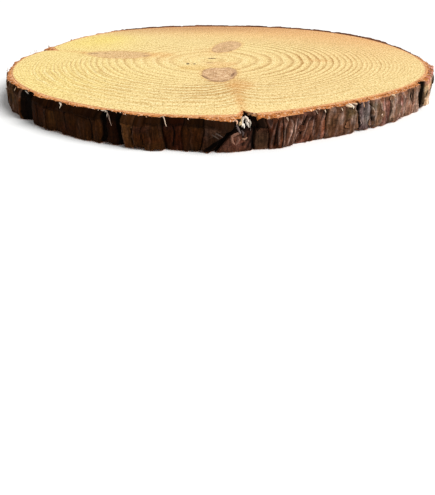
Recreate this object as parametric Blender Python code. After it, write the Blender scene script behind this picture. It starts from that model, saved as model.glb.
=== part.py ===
"""A slice sawn across a pine log: the disc of wood, and the ring of bark that grew round it.

Metres, +Z up. The slice lies flat, with the origin under the middle of its box.
Bearings are in degrees, anticlockwise from +X, and the old branch scar faces -Y.
"""
import math
import random

import bmesh
import bpy
import numpy as np

MM = 0.001

# Driving dimensions
THICKNESS = 22.0 * MM
WOOD_RADIUS = 171.5 * MM
BARK_THICKNESS = 6.5 * MM
BARK_GAP = 0.3 * MM
THINNEST_BARK = 1.6 * MM
WOOD_POINTS = 240

# Lobes of an outline: how many there are round it, their height, and the bearing of one crest
WOOD_LOBES = (
    (1, 9.0 * MM, 92.0),
    (2, 3.8 * MM, 21.0),
    (3, 2.6 * MM, 8.0),
    (5, 2.1 * MM, 53.0),
)
BARK_LOBES = (
    (1, 1.8 * MM, 265.0),
    (2, 2.6 * MM, 85.0),
)

# Valleys in the side of the log: bearing of the lowest point, depth, and the width of each flank.
# Bark is folded into the two narrow ones, and follows the wide one.
NOTCHES = (
    (276.0, 9.5 * MM, 1.8, 3.0),
    (162.1, 10.5 * MM, 4.2, 2.2),
)
HOLLOWS = (
    (161.5, 7.0 * MM, 36.0, 14.0),
)
VALLEY_CURVE = 1.2

# Lumps and hollows of the bark: bearing, half-width in degrees, level below the top,
# half-height, and how far it stands out, or in where that is negative
SCARS = (
    (271.6, 3.2, 0.0 * MM, 7.0 * MM, 4.2 * MM),
    (272.8, 2.4, 13.5 * MM, 5.0 * MM, 2.2 * MM),
    (272.0, 0.9, 4.0 * MM, 2.5 * MM, 1.2 * MM),
    (276.4, 1.0, 0.0 * MM, 6.5 * MM, -16.0 * MM),
    (281.5, 2.6, 0.0 * MM, 9.0 * MM, 2.6 * MM),
    (159.6, 1.6, 0.0 * MM, 30.0 * MM, 1.0 * MM),
)

# Plates of bark: left and right edge at the top, left and right edge at the foot,
# and how far the plate stands out at its left and right edge, in millimetres
FRONT_PLATES = (
    (200.0, 213.0, 200.0, 213.6, 0.5, 1.2),
    (218.8, 225.3, 219.2, 225.2, 0.8, 0.6),
    (225.6, 242.6, 225.5, 242.9, 0.2, 0.8),
    (244.0, 246.4, 244.4, 246.8, 0.2, -0.6),
    (248.2, 251.1, 248.4, 251.3, 1.2, 1.4),
    (251.4, 257.3, 251.6, 257.5, 1.8, 1.6),
    (257.7, 262.0, 257.9, 262.1, -2.4, -1.8),
    (262.2, 266.2, 262.3, 266.3, -1.0, 0.2),
    (266.5, 273.4, 266.6, 268.0, 1.4, 3.4),
    (274.9, 277.4, 269.2, 277.6, 2.2, 1.2),
    (277.8, 280.8, 277.9, 281.0, 0.2, 0.6),
    (281.1, 284.8, 281.2, 284.7, 2.2, 2.0),
    (285.1, 290.0, 284.9, 288.4, 2.6, -0.4),
    (290.2, 294.5, 288.8, 292.0, -1.2, -1.6),
    (294.7, 297.0, 292.3, 296.8, -2.0, -1.4),
    (297.2, 306.5, 297.1, 307.4, -0.4, 0.2),
    (307.6, 310.6, 308.5, 311.6, 0.2, 0.6),
    (311.0, 315.0, 313.1, 315.2, 1.0, 1.4),
    (315.2, 318.8, 315.3, 318.7, 1.2, 0.8),
    (319.0, 322.0, 319.0, 322.2, 0.6, 0.9),
    (322.2, 326.0, 322.3, 326.1, 0.9, 0.7),
    (326.2, 333.4, 326.3, 333.6, 0.0, 0.2),
    (336.8, 345.3, 336.6, 345.0, 2.4, 1.6),
    (345.5, 351.0, 345.2, 351.2, 1.0, 2.0),
    (351.2, 357.2, 351.4, 357.3, 2.0, 1.6),
    (357.7, 362.0, 357.8, 362.2, 1.0, 3.0),
    (362.2, 369.0, 362.5, 369.2, 4.6, 1.6),
)
SIDE_PLATES = (
    (497.3, 499.8, 497.3, 499.6, 1.4, 1.8),
    (500.2, 509.6, 500.4, 509.4, -1.0, -2.4),
    (510.0, 516.6, 509.8, 516.8, -2.6, -2.4),
    (517.2, 522.4, 517.2, 522.6, 2.0, 0.4),
    (523.9, 529.6, 523.8, 529.8, -2.2, -1.6),
    (530.0, 535.8, 530.0, 535.9, -1.0, -0.8),
    (536.1, 543.4, 536.0, 543.1, -1.0, -1.4),
    (543.9, 552.0, 543.5, 551.7, -1.8, -1.4),
    (552.3, 559.6, 552.2, 559.7, -1.8, -0.6),
)

# The rule for the plates of the far side: widths, gaps and leans in degrees, the rest in millimetres
BARK_SEED = 12
PLATE_WIDTHS = (3.6, 9.5)
PLATE_GAPS = (0.3, 0.3, 0.5, 0.9, 1.6)
PLATE_LEAN = 1.2
PLATE_STAND_OUT = (-1.0, 1.8)
PLATE_TILT = 0.6

# The edge of a plate: how far in it begins to round, at most what share of the width, and its drop
EDGE_ROUND = 0.8 * MM
WIDEST_EDGE = 0.25
EDGE_DROP = 0.7 * MM

# Fissures: below a width they are cracks of one depth, and otherwise deeper as they widen.
# Their floor is two columns, each a share of the way across and a share of the depth.
CRACK_WIDTH = 1.3 * MM
CRACK_DEPTH = 1.1 * MM
FISSURE_DEPTH = 1.6 * MM
FISSURE_DEEPENING = 0.35
DEEPEST_FISSURE = 5.0 * MM
FISSURE_FLOOR = ((0.2, 0.8), (0.75, 1.0))

# How finely the two pieces are drawn
COLUMN_SPACING = 5.0 * MM
ROWS = (0.0, 0.1, 0.25, 0.42, 0.6, 0.75, 0.9, 1.0)
CLOSEST_BEARINGS = 0.1
CREASE = 25.0

WOOD_COLOUR = (0.83, 0.62, 0.33)
WOOD_ROUGHNESS = 0.7
BARK_COLOUR = (0.060, 0.030, 0.017)
BARK_ROUGHNESS = 0.9


def lobed_radius(bearings, base, lobes):
    """Radius of an outline: the base, plus height x cos(count x (bearing - crest)) for each lobe."""
    radius = np.full(np.shape(bearings), base)
    for count, height, crest in lobes:
        radius = radius + height * np.cos(count * np.radians(bearings - crest))
    return radius


def away(bearings, centre):
    """Signed degrees from a centre, between -180 and 180."""
    return (bearings - centre + 180.0) % 360.0 - 180.0


def valley_depth(bearings, valleys):
    """How far the side is let in: each valley is its depth x (1 - distance / flank) ^ 1.2."""
    total = np.zeros(np.shape(bearings))
    for lowest, depth, before, after in valleys:
        off = away(bearings, lowest)
        flank = np.where(off < 0.0, before, after)
        total = total + depth * np.clip(1.0 - np.abs(off) / flank, 0.0, 1.0) ** VALLEY_CURVE
    return total


def wood_radius(bearings):
    """Radius of the wood: its lobed outline, less the valleys."""
    outline = lobed_radius(bearings, WOOD_RADIUS, WOOD_LOBES)
    return outline - valley_depth(bearings, NOTCHES + HOLLOWS)


def seeded_plates(start, end, rng):
    """Plates drawn by a rule from one bearing to another, stretched to fill that run.

    Both sides of a fissure lean by the same few tenths of a degree from the top to the foot.
    """
    drawn = []
    at = 0.0
    while at < end - start - PLATE_WIDTHS[0]:
        width = rng.uniform(*PLATE_WIDTHS)
        gap = rng.choice(PLATE_GAPS)
        lean = rng.uniform(-PLATE_LEAN, PLATE_LEAN)
        left = rng.uniform(*PLATE_STAND_OUT)
        right = left + rng.uniform(-PLATE_TILT, PLATE_TILT)
        drawn.append((at, at + width, lean, left, right))
        at += width + gap
    stretch = (end - start) / at
    leans = [0.0] + [row[2] for row in drawn[1:]] + [0.0]
    plates = []
    for i, (left_edge, right_edge, lean, left, right) in enumerate(drawn):
        first = start + left_edge * stretch
        last = start + right_edge * stretch
        plates.append((first, last, first + leans[i], last + leans[i + 1], left, right))
    return plates


def all_plates():
    """Every plate once round the log: the front ones, seeded ones behind, and those of the left side."""
    rng = random.Random(BARK_SEED)
    start = FRONT_PLATES[-1][1] + PLATE_GAPS[0]
    end = SIDE_PLATES[0][0]
    back = seeded_plates(start, end, rng)
    return list(FRONT_PLATES) + back + list(SIDE_PLATES)


def plate_columns(plate):
    """Columns across one plate: its rounded edges, and others between them about a spacing apart."""
    top_left, top_right, foot_left, foot_right, out_left, out_right = plate
    width = math.radians(max(top_right - top_left, foot_right - foot_left)) * WOOD_RADIUS
    steps = max(1, round(width / COLUMN_SPACING))
    edge = min(WIDEST_EDGE, EDGE_ROUND / width)
    shares = [0.0] + list(np.linspace(edge, 1.0 - edge, steps + 1)) + [1.0]
    columns = []
    for share in shares:
        out = (out_left + (out_right - out_left) * share) * MM
        if share in (0.0, 1.0):
            out -= EDGE_DROP
        top = top_left + (top_right - top_left) * share
        foot = foot_left + (foot_right - foot_left) * share
        columns.append((top, foot, out))
    return columns


def gap_columns(plate, following):
    """Columns on the floor of the fissure between one plate and the next: wide ones are deeper."""
    top_gap = following[0] - plate[1]
    foot_gap = following[2] - plate[3]
    width = math.radians(max(top_gap, foot_gap)) * WOOD_RADIUS
    lower = min(plate[5], following[4]) * MM
    if width < CRACK_WIDTH:
        floors = ((0.5, lower - CRACK_DEPTH),)
    else:
        depth = min(DEEPEST_FISSURE, FISSURE_DEPTH + FISSURE_DEEPENING * width)
        floors = [(share, lower - part * depth) for share, part in FISSURE_FLOOR]
    columns = []
    for share, out in floors:
        columns.append((plate[1] + top_gap * share, plate[3] + foot_gap * share, out))
    return columns


def bark_columns():
    """Columns once round the bark, as arrays: bearing at the top, bearing at the foot, stand-out."""
    plates = all_plates()
    closing = tuple(value + 360.0 for value in plates[0][:4]) + plates[0][4:]
    columns = []
    for plate, following in zip(plates, plates[1:] + [closing]):
        columns += plate_columns(plate)
        columns += gap_columns(plate, following)
    return np.array(columns).T


def wander(bearings, heights):
    """Sideways wander of the fissures, in degrees: slow waves round the log that drift with height."""
    turns = np.radians(bearings)
    drift = heights / THICKNESS
    return (0.22 * np.sin(31.0 * turns + 2.6 * drift)
            + 0.12 * np.sin(67.0 * turns - 4.1 * drift + 1.3)
            + 0.07 * np.sin(101.0 * turns + 7.0 * drift + 4.0))


def swell(bearings, heights):
    """Unevenness of the bark's surface: waves about 12 to 30 mm long that drift with height."""
    turns = np.radians(bearings)
    drift = heights / THICKNESS
    return MM * (0.35 * np.sin(37.0 * turns + 1.9 * drift + 0.6)
                 + 0.25 * np.sin(59.0 * turns - 3.3 * drift + 2.2)
                 + 0.20 * np.sin(88.0 * turns + 5.1 * drift + 5.0))


def scar_relief(bearings, heights):
    """Lumps and hollows: each is a bell in bearing and in height."""
    relief = np.zeros(np.shape(bearings))
    for centre, half_width, level, half_height, out in SCARS:
        across = away(bearings, centre) / half_width
        along = (THICKNESS - heights - level) / half_height
        relief = relief + out * np.exp(-across ** 2 - along ** 2)
    return relief


def bark_surface(tops, feet, stand_outs, heights):
    """Bearing and radius of the bark's outside for each column and height."""
    share = heights / THICKNESS
    bearings = feet + (tops - feet) * share
    bearings = bearings + wander(bearings, heights)
    radius = lobed_radius(bearings, WOOD_RADIUS + BARK_THICKNESS, WOOD_LOBES + BARK_LOBES)
    radius = radius - valley_depth(bearings, HOLLOWS)
    radius = radius + stand_outs + swell(bearings, heights) + scar_relief(bearings, heights)
    least = wood_radius(bearings) + BARK_GAP + THINNEST_BARK
    return bearings, np.maximum(radius, least)


def ring_bearings():
    """Bearings of the wood's points: even steps, and the foot and tip of each notch."""
    bearings = set(np.arange(WOOD_POINTS) * 360.0 / WOOD_POINTS)
    for tip, depth, before, after in NOTCHES:
        for share in (-1.0, -0.8, -0.6, -0.4, -0.2, -0.08, 0.0):
            bearings.add(tip + before * share)
        for share in (0.08, 0.2, 0.4, 0.6, 0.8, 1.0):
            bearings.add(tip + after * share)
    kept = []
    for bearing in sorted(bearings):
        if not kept or bearing - kept[-1] > CLOSEST_BEARINGS:
            kept.append(bearing)
    return np.array(kept)


def plan_points(bearings, radius):
    """Points in plan from bearings and radii."""
    turns = np.radians(bearings)
    return np.stack([radius * np.cos(turns), radius * np.sin(turns)], axis=-1)


def add_object(name, bm, colour, roughness):
    """One named object from a bmesh, with its own material."""
    mesh = bpy.data.meshes.new(name)
    bmesh.ops.recalc_face_normals(bm, faces=bm.faces)
    bm.to_mesh(mesh)
    bm.free()
    item = bpy.data.objects.new(name, mesh)
    bpy.context.scene.collection.objects.link(item)
    material = bpy.data.materials.new(name)
    material.use_nodes = True
    shader = material.node_tree.nodes["Principled BSDF"]
    shader.inputs["Base Color"].default_value = (*colour, 1.0)
    shader.inputs["Roughness"].default_value = roughness
    shader.inputs["Metallic"].default_value = 0.0
    mesh.materials.append(material)
    mesh.shade_smooth()
    mesh.set_sharp_from_angle(angle=math.radians(CREASE))
    return item


def build_wood(middle):
    """The disc of wood: its outline as one face, extruded up by the thickness."""
    bearings = ring_bearings()
    outline = plan_points(bearings, wood_radius(bearings)) - middle
    bm = bmesh.new()
    corners = [bm.verts.new((x, y, 0.0)) for x, y in outline]
    base = bm.faces.new(corners)
    raised = bmesh.ops.extrude_face_region(bm, geom=[base])
    top = [item for item in raised["geom"] if isinstance(item, bmesh.types.BMVert)]
    bmesh.ops.translate(bm, vec=(0.0, 0.0, THICKNESS), verts=top)
    bmesh.ops.triangulate(bm, faces=bm.faces)
    return add_object("wood", bm, WOOD_COLOUR, WOOD_ROUGHNESS)


def wall_of_loops(bm, loops):
    """Rows of vertices from closed loops, joined by quads, and the edges of the first and last row."""
    rows = [[bm.verts.new(point) for point in loop] for loop in loops]
    for lower, upper in zip(rows, rows[1:]):
        for i in range(len(lower)):
            j = (i + 1) % len(lower)
            bm.faces.new((lower[i], lower[j], upper[j], upper[i]))
    ends = []
    for row in (rows[0], rows[-1]):
        ends.append([bm.edges.get((row[i - 1], row[i])) for i in range(len(row))])
    return ends


def build_bark(outside, heights, middle):
    """The ring of bark: its outside wall, its inside wall against the wood, and two flat cut rims."""
    bearings = ring_bearings()
    inside = plan_points(bearings, wood_radius(bearings) + BARK_GAP) - middle
    bm = bmesh.new()
    outer_loops = []
    for plan, height in zip(outside, heights):
        outer_loops.append([(x, y, height) for x, y in plan - middle])
    inner_loops = []
    for height in (0.0, THICKNESS):
        inner_loops.append([(x, y, height) for x, y in inside])
    outer_ends = wall_of_loops(bm, outer_loops)
    inner_ends = wall_of_loops(bm, inner_loops)
    for outer_edges, inner_edges in zip(outer_ends, inner_ends):
        bmesh.ops.triangle_fill(bm, edges=outer_edges + inner_edges, use_beauty=True)
    bmesh.ops.triangulate(bm, faces=bm.faces)
    return add_object("bark", bm, BARK_COLOUR, BARK_ROUGHNESS)


for old in list(bpy.data.objects):
    bpy.data.objects.remove(old)

row_heights = [share * THICKNESS for share in ROWS]
tops, feet, stand_outs = bark_columns()
outside_rows = []
for row_height in row_heights:
    row_bearings, row_radius = bark_surface(tops, feet, stand_outs, row_height)
    outside_rows.append(plan_points(row_bearings, row_radius))
every_point = np.concatenate(outside_rows)
middle_point = (every_point.min(axis=0) + every_point.max(axis=0)) / 2.0

build_wood(middle_point)
build_bark(outside_rows, row_heights, middle_point)
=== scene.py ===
"""The looks of a slice sawn across a pine log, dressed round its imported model.

Metres, +Z up. Bearings are in degrees, anticlockwise from +X, and the folded branch scar faces -Y.
"""
import math
import random

import bpy
import numpy as np
from mathutils.bvhtree import BVHTree
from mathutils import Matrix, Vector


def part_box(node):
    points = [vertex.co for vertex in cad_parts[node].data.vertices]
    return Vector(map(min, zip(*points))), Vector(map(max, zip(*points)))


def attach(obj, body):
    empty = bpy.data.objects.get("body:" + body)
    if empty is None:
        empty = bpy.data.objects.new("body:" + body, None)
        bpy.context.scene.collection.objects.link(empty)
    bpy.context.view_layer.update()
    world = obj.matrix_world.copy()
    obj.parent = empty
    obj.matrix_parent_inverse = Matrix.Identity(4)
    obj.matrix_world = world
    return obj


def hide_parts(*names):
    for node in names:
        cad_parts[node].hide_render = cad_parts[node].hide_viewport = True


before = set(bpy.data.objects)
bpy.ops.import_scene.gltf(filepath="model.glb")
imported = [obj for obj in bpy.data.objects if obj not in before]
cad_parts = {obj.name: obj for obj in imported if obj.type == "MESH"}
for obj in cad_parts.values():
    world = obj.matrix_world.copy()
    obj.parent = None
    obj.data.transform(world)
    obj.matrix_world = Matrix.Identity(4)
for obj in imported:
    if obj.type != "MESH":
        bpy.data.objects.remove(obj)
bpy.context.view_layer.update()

# The wood: the disc of a pine log, sawn across and sanded smooth. Its end grain is pale straw,
# with about thirty growth rings, and three knots and two folded branch scars that grew into it.
MM = 0.001
WOOD_LOW, WOOD_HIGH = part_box("wood")
THICKNESS = WOOD_HIGH.z - WOOD_LOW.z
WOOD_RADIUS = 171.5 * MM
# Lobes of the outline: how many go round it, their height, and the bearing of a crest
WOOD_LOBES = (
    (1, 9.0 * MM, 92.0),
    (2, 3.8 * MM, 21.0),
    (3, 2.6 * MM, 8.0),
    (5, 2.1 * MM, 53.0),
)
# Valleys in the side of the log: bearing of the lowest point, depth, and the width of each flank
NOTCHES = (
    (276.0, 9.5 * MM, 1.8, 3.0),
    (162.1, 10.5 * MM, 4.2, 2.2),
)
HOLLOWS = (
    (161.5, 7.0 * MM, 36.0, 14.0),
)
VALLEY_CURVE = 1.2


def lobed_radius(bearings, base, lobes):
    """Radius of an outline: the base, plus height x cos(count x (bearing - crest)) for each lobe."""
    radius = np.full(np.shape(bearings), base)
    for count, height, crest in lobes:
        radius = radius + height * np.cos(count * np.radians(bearings - crest))
    return radius


def away(bearings, centre):
    """Signed degrees from a centre, between -180 and 180."""
    return (bearings - centre + 180.0) % 360.0 - 180.0


def valley_depth(bearings, valleys):
    """How far the side is let in: each valley is its depth x (1 - distance / flank) ^ 1.2."""
    total = np.zeros(np.shape(bearings))
    for lowest, depth, before, after in valleys:
        off = away(bearings, lowest)
        flank = np.where(off < 0.0, before, after)
        total = total + depth * np.clip(1.0 - np.abs(off) / flank, 0.0, 1.0) ** VALLEY_CURVE
    return total


def wood_radius(bearings):
    """Radius of the wood: its lobed outline, less the valleys."""
    outline = lobed_radius(bearings, WOOD_RADIUS, WOOD_LOBES)
    return outline - valley_depth(bearings, NOTCHES + HOLLOWS)


def plan_points(bearings, radius):
    """Points in plan, from bearings and radii: (radius x cos, radius x sin)."""
    turns = np.radians(bearings)
    return np.stack([radius * np.cos(turns), radius * np.sin(turns)], axis=-1)


fine_turn = np.arange(0.0, 360.0, 0.05)
fine_rim = plan_points(fine_turn, wood_radius(fine_turn))
rim_middle = (fine_rim.min(axis=0) + fine_rim.max(axis=0)) / 2.0
box_middle = (np.array(WOOD_LOW[:2]) + np.array(WOOD_HIGH[:2])) / 2.0
LOG_AXIS = box_middle - rim_middle
PITH = np.array([-4.0, 5.0]) * MM

# Knots, in millimetres: the two ends, half-width, how much narrower it is at the outer end, how
# squarely its outline is built (2 is an ellipse), how dark its edge is, and how deep its tone is
KNOTS = (
    ((-61.0, 24.5), (-119.0, 33.5), 15.5, 0.25, 1.9, 0.22, 0.52),
    ((0.5, 39.0), (16.0, 92.0), 11.8, 0.25, 2.4, 0.25, 0.78),
    ((2.0, -22.5), (0.0, -71.5), 13.9, 0.30, 2.8, 0.45, 0.95),
)
# Scars of buried branches, where the rings dip towards the pith: inner end, outer end,
# half-width of the stain at each end, depth of the dip in the rings, and its reach sideways
SCAR_LINES = (
    ((12.0, -66.0), (16.4, -151.0), 8.5, 2.4, 24.0, 13.0),
    ((-121.0, 38.0), (-149.0, 47.5), 5.0, 2.5, 9.0, 9.0),
)
# Marks of resin and of stained wood: middle, half-length, half-width, bearing of the length, depth
# of tone, and tone
MARKS = (
    ((-5.6, 12.6), 3.8, 1.7, 2.0, 0.95, "6b4a26"),
    ((-7.2, -5.0), 3.2, 1.5, -4.0, 0.85, "7a5228"),
    ((-26.0, -8.6), 1.2, 2.4, 0.0, 1.00, "4a2c10"),
    ((-20.4, -9.0), 1.2, 2.0, 0.0, 0.85, "5f3d1e"),
    ((-88.5, -69.0), 0.9, 1.2, 0.0, 0.55, "5f3d1e"),
    ((-112.0, 34.0), 4.5, 2.2, 165.0, 0.50, "7a4f2a"),
    ((-101.0, 34.5), 3.2, 1.6, 170.0, 0.40, "7a4f2a"),
    ((-64.0, 23.5), 3.5, 2.4, 165.0, 0.40, "7a4f2a"),
    ((12.0, -47.0), 9.0, 1.3, 78.0, 0.75, "845638"),
    ((-10.2, -57.5), 8.0, 1.2, -62.0, 0.80, "825434"),
    ((-1.0, -69.5), 9.0, 1.5, 6.0, 0.65, "8a5e38"),
    ((17.0, -84.0), 13.0, 10.0, 80.0, 0.38, "e3a45c"),
    ((2.0, -10.0), 15.0, 9.0, 0.0, 0.45, "e9b272"),
    ((-22.0, -24.0), 12.0, 9.0, 0.0, 0.40, "e6b45a"),
    ((88.0, 4.0), 5.0, 10.0, 75.0, 0.40, "dd9f5a"),
    ((-52.0, 29.0), 12.0, 10.0, 170.0, 0.35, "eeb46a"),
)
# Soft patches of the face: middle and radius in millimetres, and strength. The heartwood's tan, the
# yellow cast, the groups of rings, and how plain the rings are
TAN_PATCHES = (
    ((150.0, 60.0), 60.0, 0.30),
    ((-50.0, 20.0), 22.0, 0.25),
    ((-8.0, 45.0), 20.0, 0.20),
)
YELLOW_PATCHES = (
    ((-125.0, 85.0), 42.0, 0.72),
    ((-120.0, -80.0), 60.0, 0.45),
    ((-165.0, 0.0), 60.0, 0.26),
    ((-110.0, 112.0), 24.0, 0.50),
)
BAND_PATCHES = (
    ((-6.0, -98.0), 24.0, 2.20),
)
CONTRAST_PATCHES = (
    ((1.0, -101.0), 22.0, 0.85),
    ((-115.0, 105.0), 45.0, -0.30),
)
# How far a knot pushes the rings out, in millimetres; the measure, 1 on its edge, within which a point
# takes its tones; and the measure of a point far from every knot
KNOT_PUSH = 5.0
KNOT_REACH = 1.6
NO_KNOT = 9.0
# Added to each distance in millimetres, so that the pith itself has a direction
NEAR_PITH = 1e-6
RIM_STEPS = 400
RADIAL_STEPS = 84
# Rings of points lie a little closer together towards the rim, and the last of them close beside it,
# at these shares of the way in
RING_CROWDING = 0.9
RIM_SHARES = (0.007, 0.003, 0.0)
# Shares of a notch's flank at which it has a ray of points
FLANK_SHARES = np.array([0.0, 0.08, 0.25, 0.5, 0.75, 1.0])
# How much nearer to the pith the knots are at the lower face, in millimetres
UNDERSIDE_KNOT_SHIFT = 9.0
# Width of a group of narrow rings in the outer wood of the front, one pale half and one darker
BAND_WIDTH = 8.2 * MM


def ease(low, high, value):
    """Smooth step: 0 below low, 1 above high, and 3x2 - 2x3 between them."""
    share = np.clip((value - low) / (high - low), 0.0, 1.0)
    return share * share * (3.0 - 2.0 * share)


def along_line(plan, start, end):
    """For points in millimetres: how far along a line they lie, from 0 to 1, and how far beside it."""
    run = np.array(end) - np.array(start)
    length = np.hypot(*run)
    unit = run / length
    step = plan - np.array(start)
    along = step @ unit
    beside = step @ np.array([-unit[1], unit[0]])
    return along / length, beside


def soft_patches(plan, rows):
    """A sum of round bells: each is its strength x e to the power -(distance / radius)^2."""
    total = np.zeros(plan.shape[:-1])
    for middle, radius, strength in rows:
        squared = np.sum((plan - np.array(middle)) ** 2, axis=-1)
        total = total + strength * np.exp(-squared / radius ** 2)
    return total


def ring_shares(plan):
    """How far out in the log each point grew: its distance from the pith over the reach to the bark.

    The reach is round near the pith and follows the rim further out. The bearings come with it.
    """
    from_pith = plan - PITH / MM
    distance = np.hypot(from_pith[..., 0], from_pith[..., 1]) + NEAR_PITH
    unit = from_pith / distance[..., None]
    bearings = np.degrees(np.arctan2(unit[..., 1], unit[..., 0]))
    round_share = distance / (WOOD_RADIUS / MM)
    even_rim = lobed_radius(bearings, WOOD_RADIUS, WOOD_LOBES[:2]) - valley_depth(bearings, HOLLOWS)
    fine_lobes = lobed_radius(bearings, 0.0, WOOD_LOBES[2:])
    even_rim = even_rim + ease(0.6, 0.95, round_share) * fine_lobes
    share = distance / (even_rim / MM - unit @ (PITH / MM))
    return round_share + (share - round_share) * ease(0.1, 0.7, share), bearings


def wood_fields(plan, knot_shift):
    """What the wood's finish reads at each point, from its place in plan in millimetres.

    Ring age is 10.5 s + 21.5 s^3, where s is how far out the point grew, pushed one way by knots and
    the other by buried scars. A knot's field is 0 at its middle and 1 at its edge.
    """
    share, bearings = ring_shares(plan)
    dip = np.zeros_like(share)
    stain = np.zeros_like(share)
    for start, end, wide, narrow, depth, spread in SCAR_LINES:
        along, beside = along_line(plan, start, end)
        out = np.clip(along, 0.0, 1.0)
        present = ease(-0.15, 0.1, along) * (1.0 - 0.45 * out)
        dip = dip + present * depth * np.exp(-np.sqrt(beside ** 2 + 1.5) / spread)
        half = wide + (narrow - wide) * out
        ends = ease(-0.12, 0.04, along) * (1.0 - ease(0.98, 1.1, along))
        stain = np.maximum(stain, ends * np.exp(-(beside / half) ** 2))

    knot = np.full_like(share, NO_KNOT)
    knot_edge = np.zeros_like(share)
    knot_depth = np.zeros_like(share)
    for number, (start, end, half_width, taper, square, dark, depth) in enumerate(KNOTS):
        inward = np.array(start) - np.array(end)
        shift = knot_shift * inward / np.hypot(*inward)
        along, beside = along_line(plan, np.array(start) + shift, np.array(end) + shift)
        along = along * 2.0 - 1.0
        half = half_width * (1.0 - taper * np.clip(along, 0.0, 1.0) ** 1.5)
        wobble = 1.0 + 0.04 * np.sin(3.0 * np.arctan2(beside / half, along) + 2.0 * number)
        measure = (np.abs(along) ** square + np.abs(beside / half) ** square) ** (1.0 / square)
        measure = measure * wobble
        knot = np.minimum(knot, measure)
        knot_edge = np.where(measure < KNOT_REACH, dark, knot_edge)
        knot_depth = np.where(measure < KNOT_REACH, depth, knot_depth)
        push = np.exp(-(along / 1.1) ** 4) * np.exp(-(beside / (half_width * 1.9)) ** 2)
        dip = dip - KNOT_PUSH * push

    share = share + dip / (WOOD_RADIUS / MM)
    x, y = plan[..., 0], plan[..., 1]
    right = np.cos(np.radians(bearings + 5.0))
    tan = 0.80 * ease(70.0, 178.0, y + 0.30 * x) + soft_patches(plan, TAN_PATCHES)
    tan = tan + 0.10 * ease(-50.0, 20.0, x) * ease(60.0, 20.0, y)
    bands = ease(0.2, -0.5, np.sin(np.radians(bearings))) * ease(1.0, 0.6, right)
    bands = bands * ease(0.45, 0.62, share) * ease(0.97, 0.90, share)
    contrast = 0.58 + 0.30 * ease(0.2, 0.9, right) - 0.16 * ease(90.0, 160.0, y)
    outer = 0.22 * ease(0.58, 0.75, share) + 0.34 * ease(0.78, 0.92, share)
    contrast = contrast - outer * (0.35 + 0.65 * ease(-0.3, 0.5, right))
    contrast = contrast * (0.55 + 0.45 * ease(0.22, 0.40, share))
    contrast = np.clip(contrast + soft_patches(plan, CONTRAST_PATCHES), 0.0, 1.0)
    rim_bearings = np.degrees(np.arctan2(y, x))
    from_edge = wood_radius(rim_bearings) / MM - np.hypot(x, y)
    at_right = np.exp(-((rim_bearings - 28.0) / 24.0) ** 2)
    at_back = np.exp(-((rim_bearings - 92.0) / 36.0) ** 2)
    return {
        "rim_near": ease(1.0, 0.06, from_edge / (1.7 + 3.0 * at_right + 8.0 * at_back)),
        "ring_age": 10.5 * share + 21.5 * share ** 3,
        "knot": knot,
        "knot_edge": knot_edge,
        "knot_depth": knot_depth,
        "stain": stain,
        "tan": np.clip(tan, 0.0, 1.0),
        "yellow": np.clip(soft_patches(plan, YELLOW_PATCHES), 0.0, 1.0),
        "ring_contrast": contrast * (0.25 + 0.75 * ease(0.92, 1.08, knot)),
        "dusk": 0.75 * ease(50.0, 0.0, from_edge) * at_back,
        "band_age": share * WOOD_RADIUS / BAND_WIDTH,
        "band_contrast": bands + soft_patches(plan, BAND_PATCHES),
    }


def grid_quads(rows, columns, first=0):
    """Corner numbers of a grid of quads that closes round its columns, numbered row by row."""
    at = first + np.arange(rows * columns).reshape(rows, columns)
    beside = np.roll(at, -1, axis=1)
    return np.stack([at[:-1], beside[:-1], beside[1:], at[1:]], axis=-1).reshape(-1, 4)


def add_mesh(name, points, face_sets, fields, finishes, finish_numbers=None, crease=40.0):
    """One mesh object at the origin, from arrays of points, sets of faces and named point values.

    A value of three numbers is a linear colour. Each set of faces takes one finish by its number.
    """
    mesh = bpy.data.meshes.new(name)
    faces = [corners for face_set in face_sets for corners in face_set.tolist()]
    mesh.from_pydata(points.tolist(), [], faces)
    for key, values in fields.items():
        values = np.asarray(values, dtype=np.float32)
        if values.ndim > 1:
            attribute = mesh.attributes.new(key, "FLOAT_COLOR", "POINT")
            opaque = np.concatenate([values, np.ones((len(values), 1), np.float32)], axis=1)
            attribute.data.foreach_set("color", opaque.ravel())
        else:
            attribute = mesh.attributes.new(key, "FLOAT", "POINT")
            attribute.data.foreach_set("value", values)
    for finish in finishes:
        mesh.materials.append(finish)
    if finish_numbers:
        sizes = [len(face_set) for face_set in face_sets]
        mesh.polygons.foreach_set("material_index", np.repeat(finish_numbers, sizes))
    mesh.shade_smooth()
    mesh.set_sharp_from_angle(angle=math.radians(crease))
    piece = bpy.data.objects.new(name, mesh)
    bpy.context.scene.collection.objects.link(piece)
    return piece


def linear(code):
    """Linear colour of an sRGB hex value: divided by 12.92 when dark, else raised to the power 2.4."""
    values = np.array([int(code[i:i + 2], 16) for i in (0, 2, 4)]) / 255.0
    return np.where(values <= 0.04045, values / 12.92, ((values + 0.055) / 1.055) ** 2.4)


def add_node(tree, kind, inputs=None, output=0, **settings):
    """Adds one shader node with its settings and links, and returns one of its outputs.

    Each input, by name or number, is linked from a socket, or given a value or a hex colour.
    """
    made = tree.nodes.new("ShaderNode" + kind)
    for key, value in settings.items():
        setattr(made, key, value)
    for key, value in (inputs or {}).items():
        if isinstance(value, bpy.types.NodeSocket):
            tree.links.new(value, made.inputs[key])
        elif isinstance(value, str):
            made.inputs[key].default_value = (*linear(value), 1.0)
        else:
            made.inputs[key].default_value = value
    return made.outputs[output]


# Settings of a node that eases a value between two ends, and of one that mixes two colours
SMOOTH = {"interpolation_type": "SMOOTHSTEP"}
MIX = {"output": 2, "data_type": "RGBA"}


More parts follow.
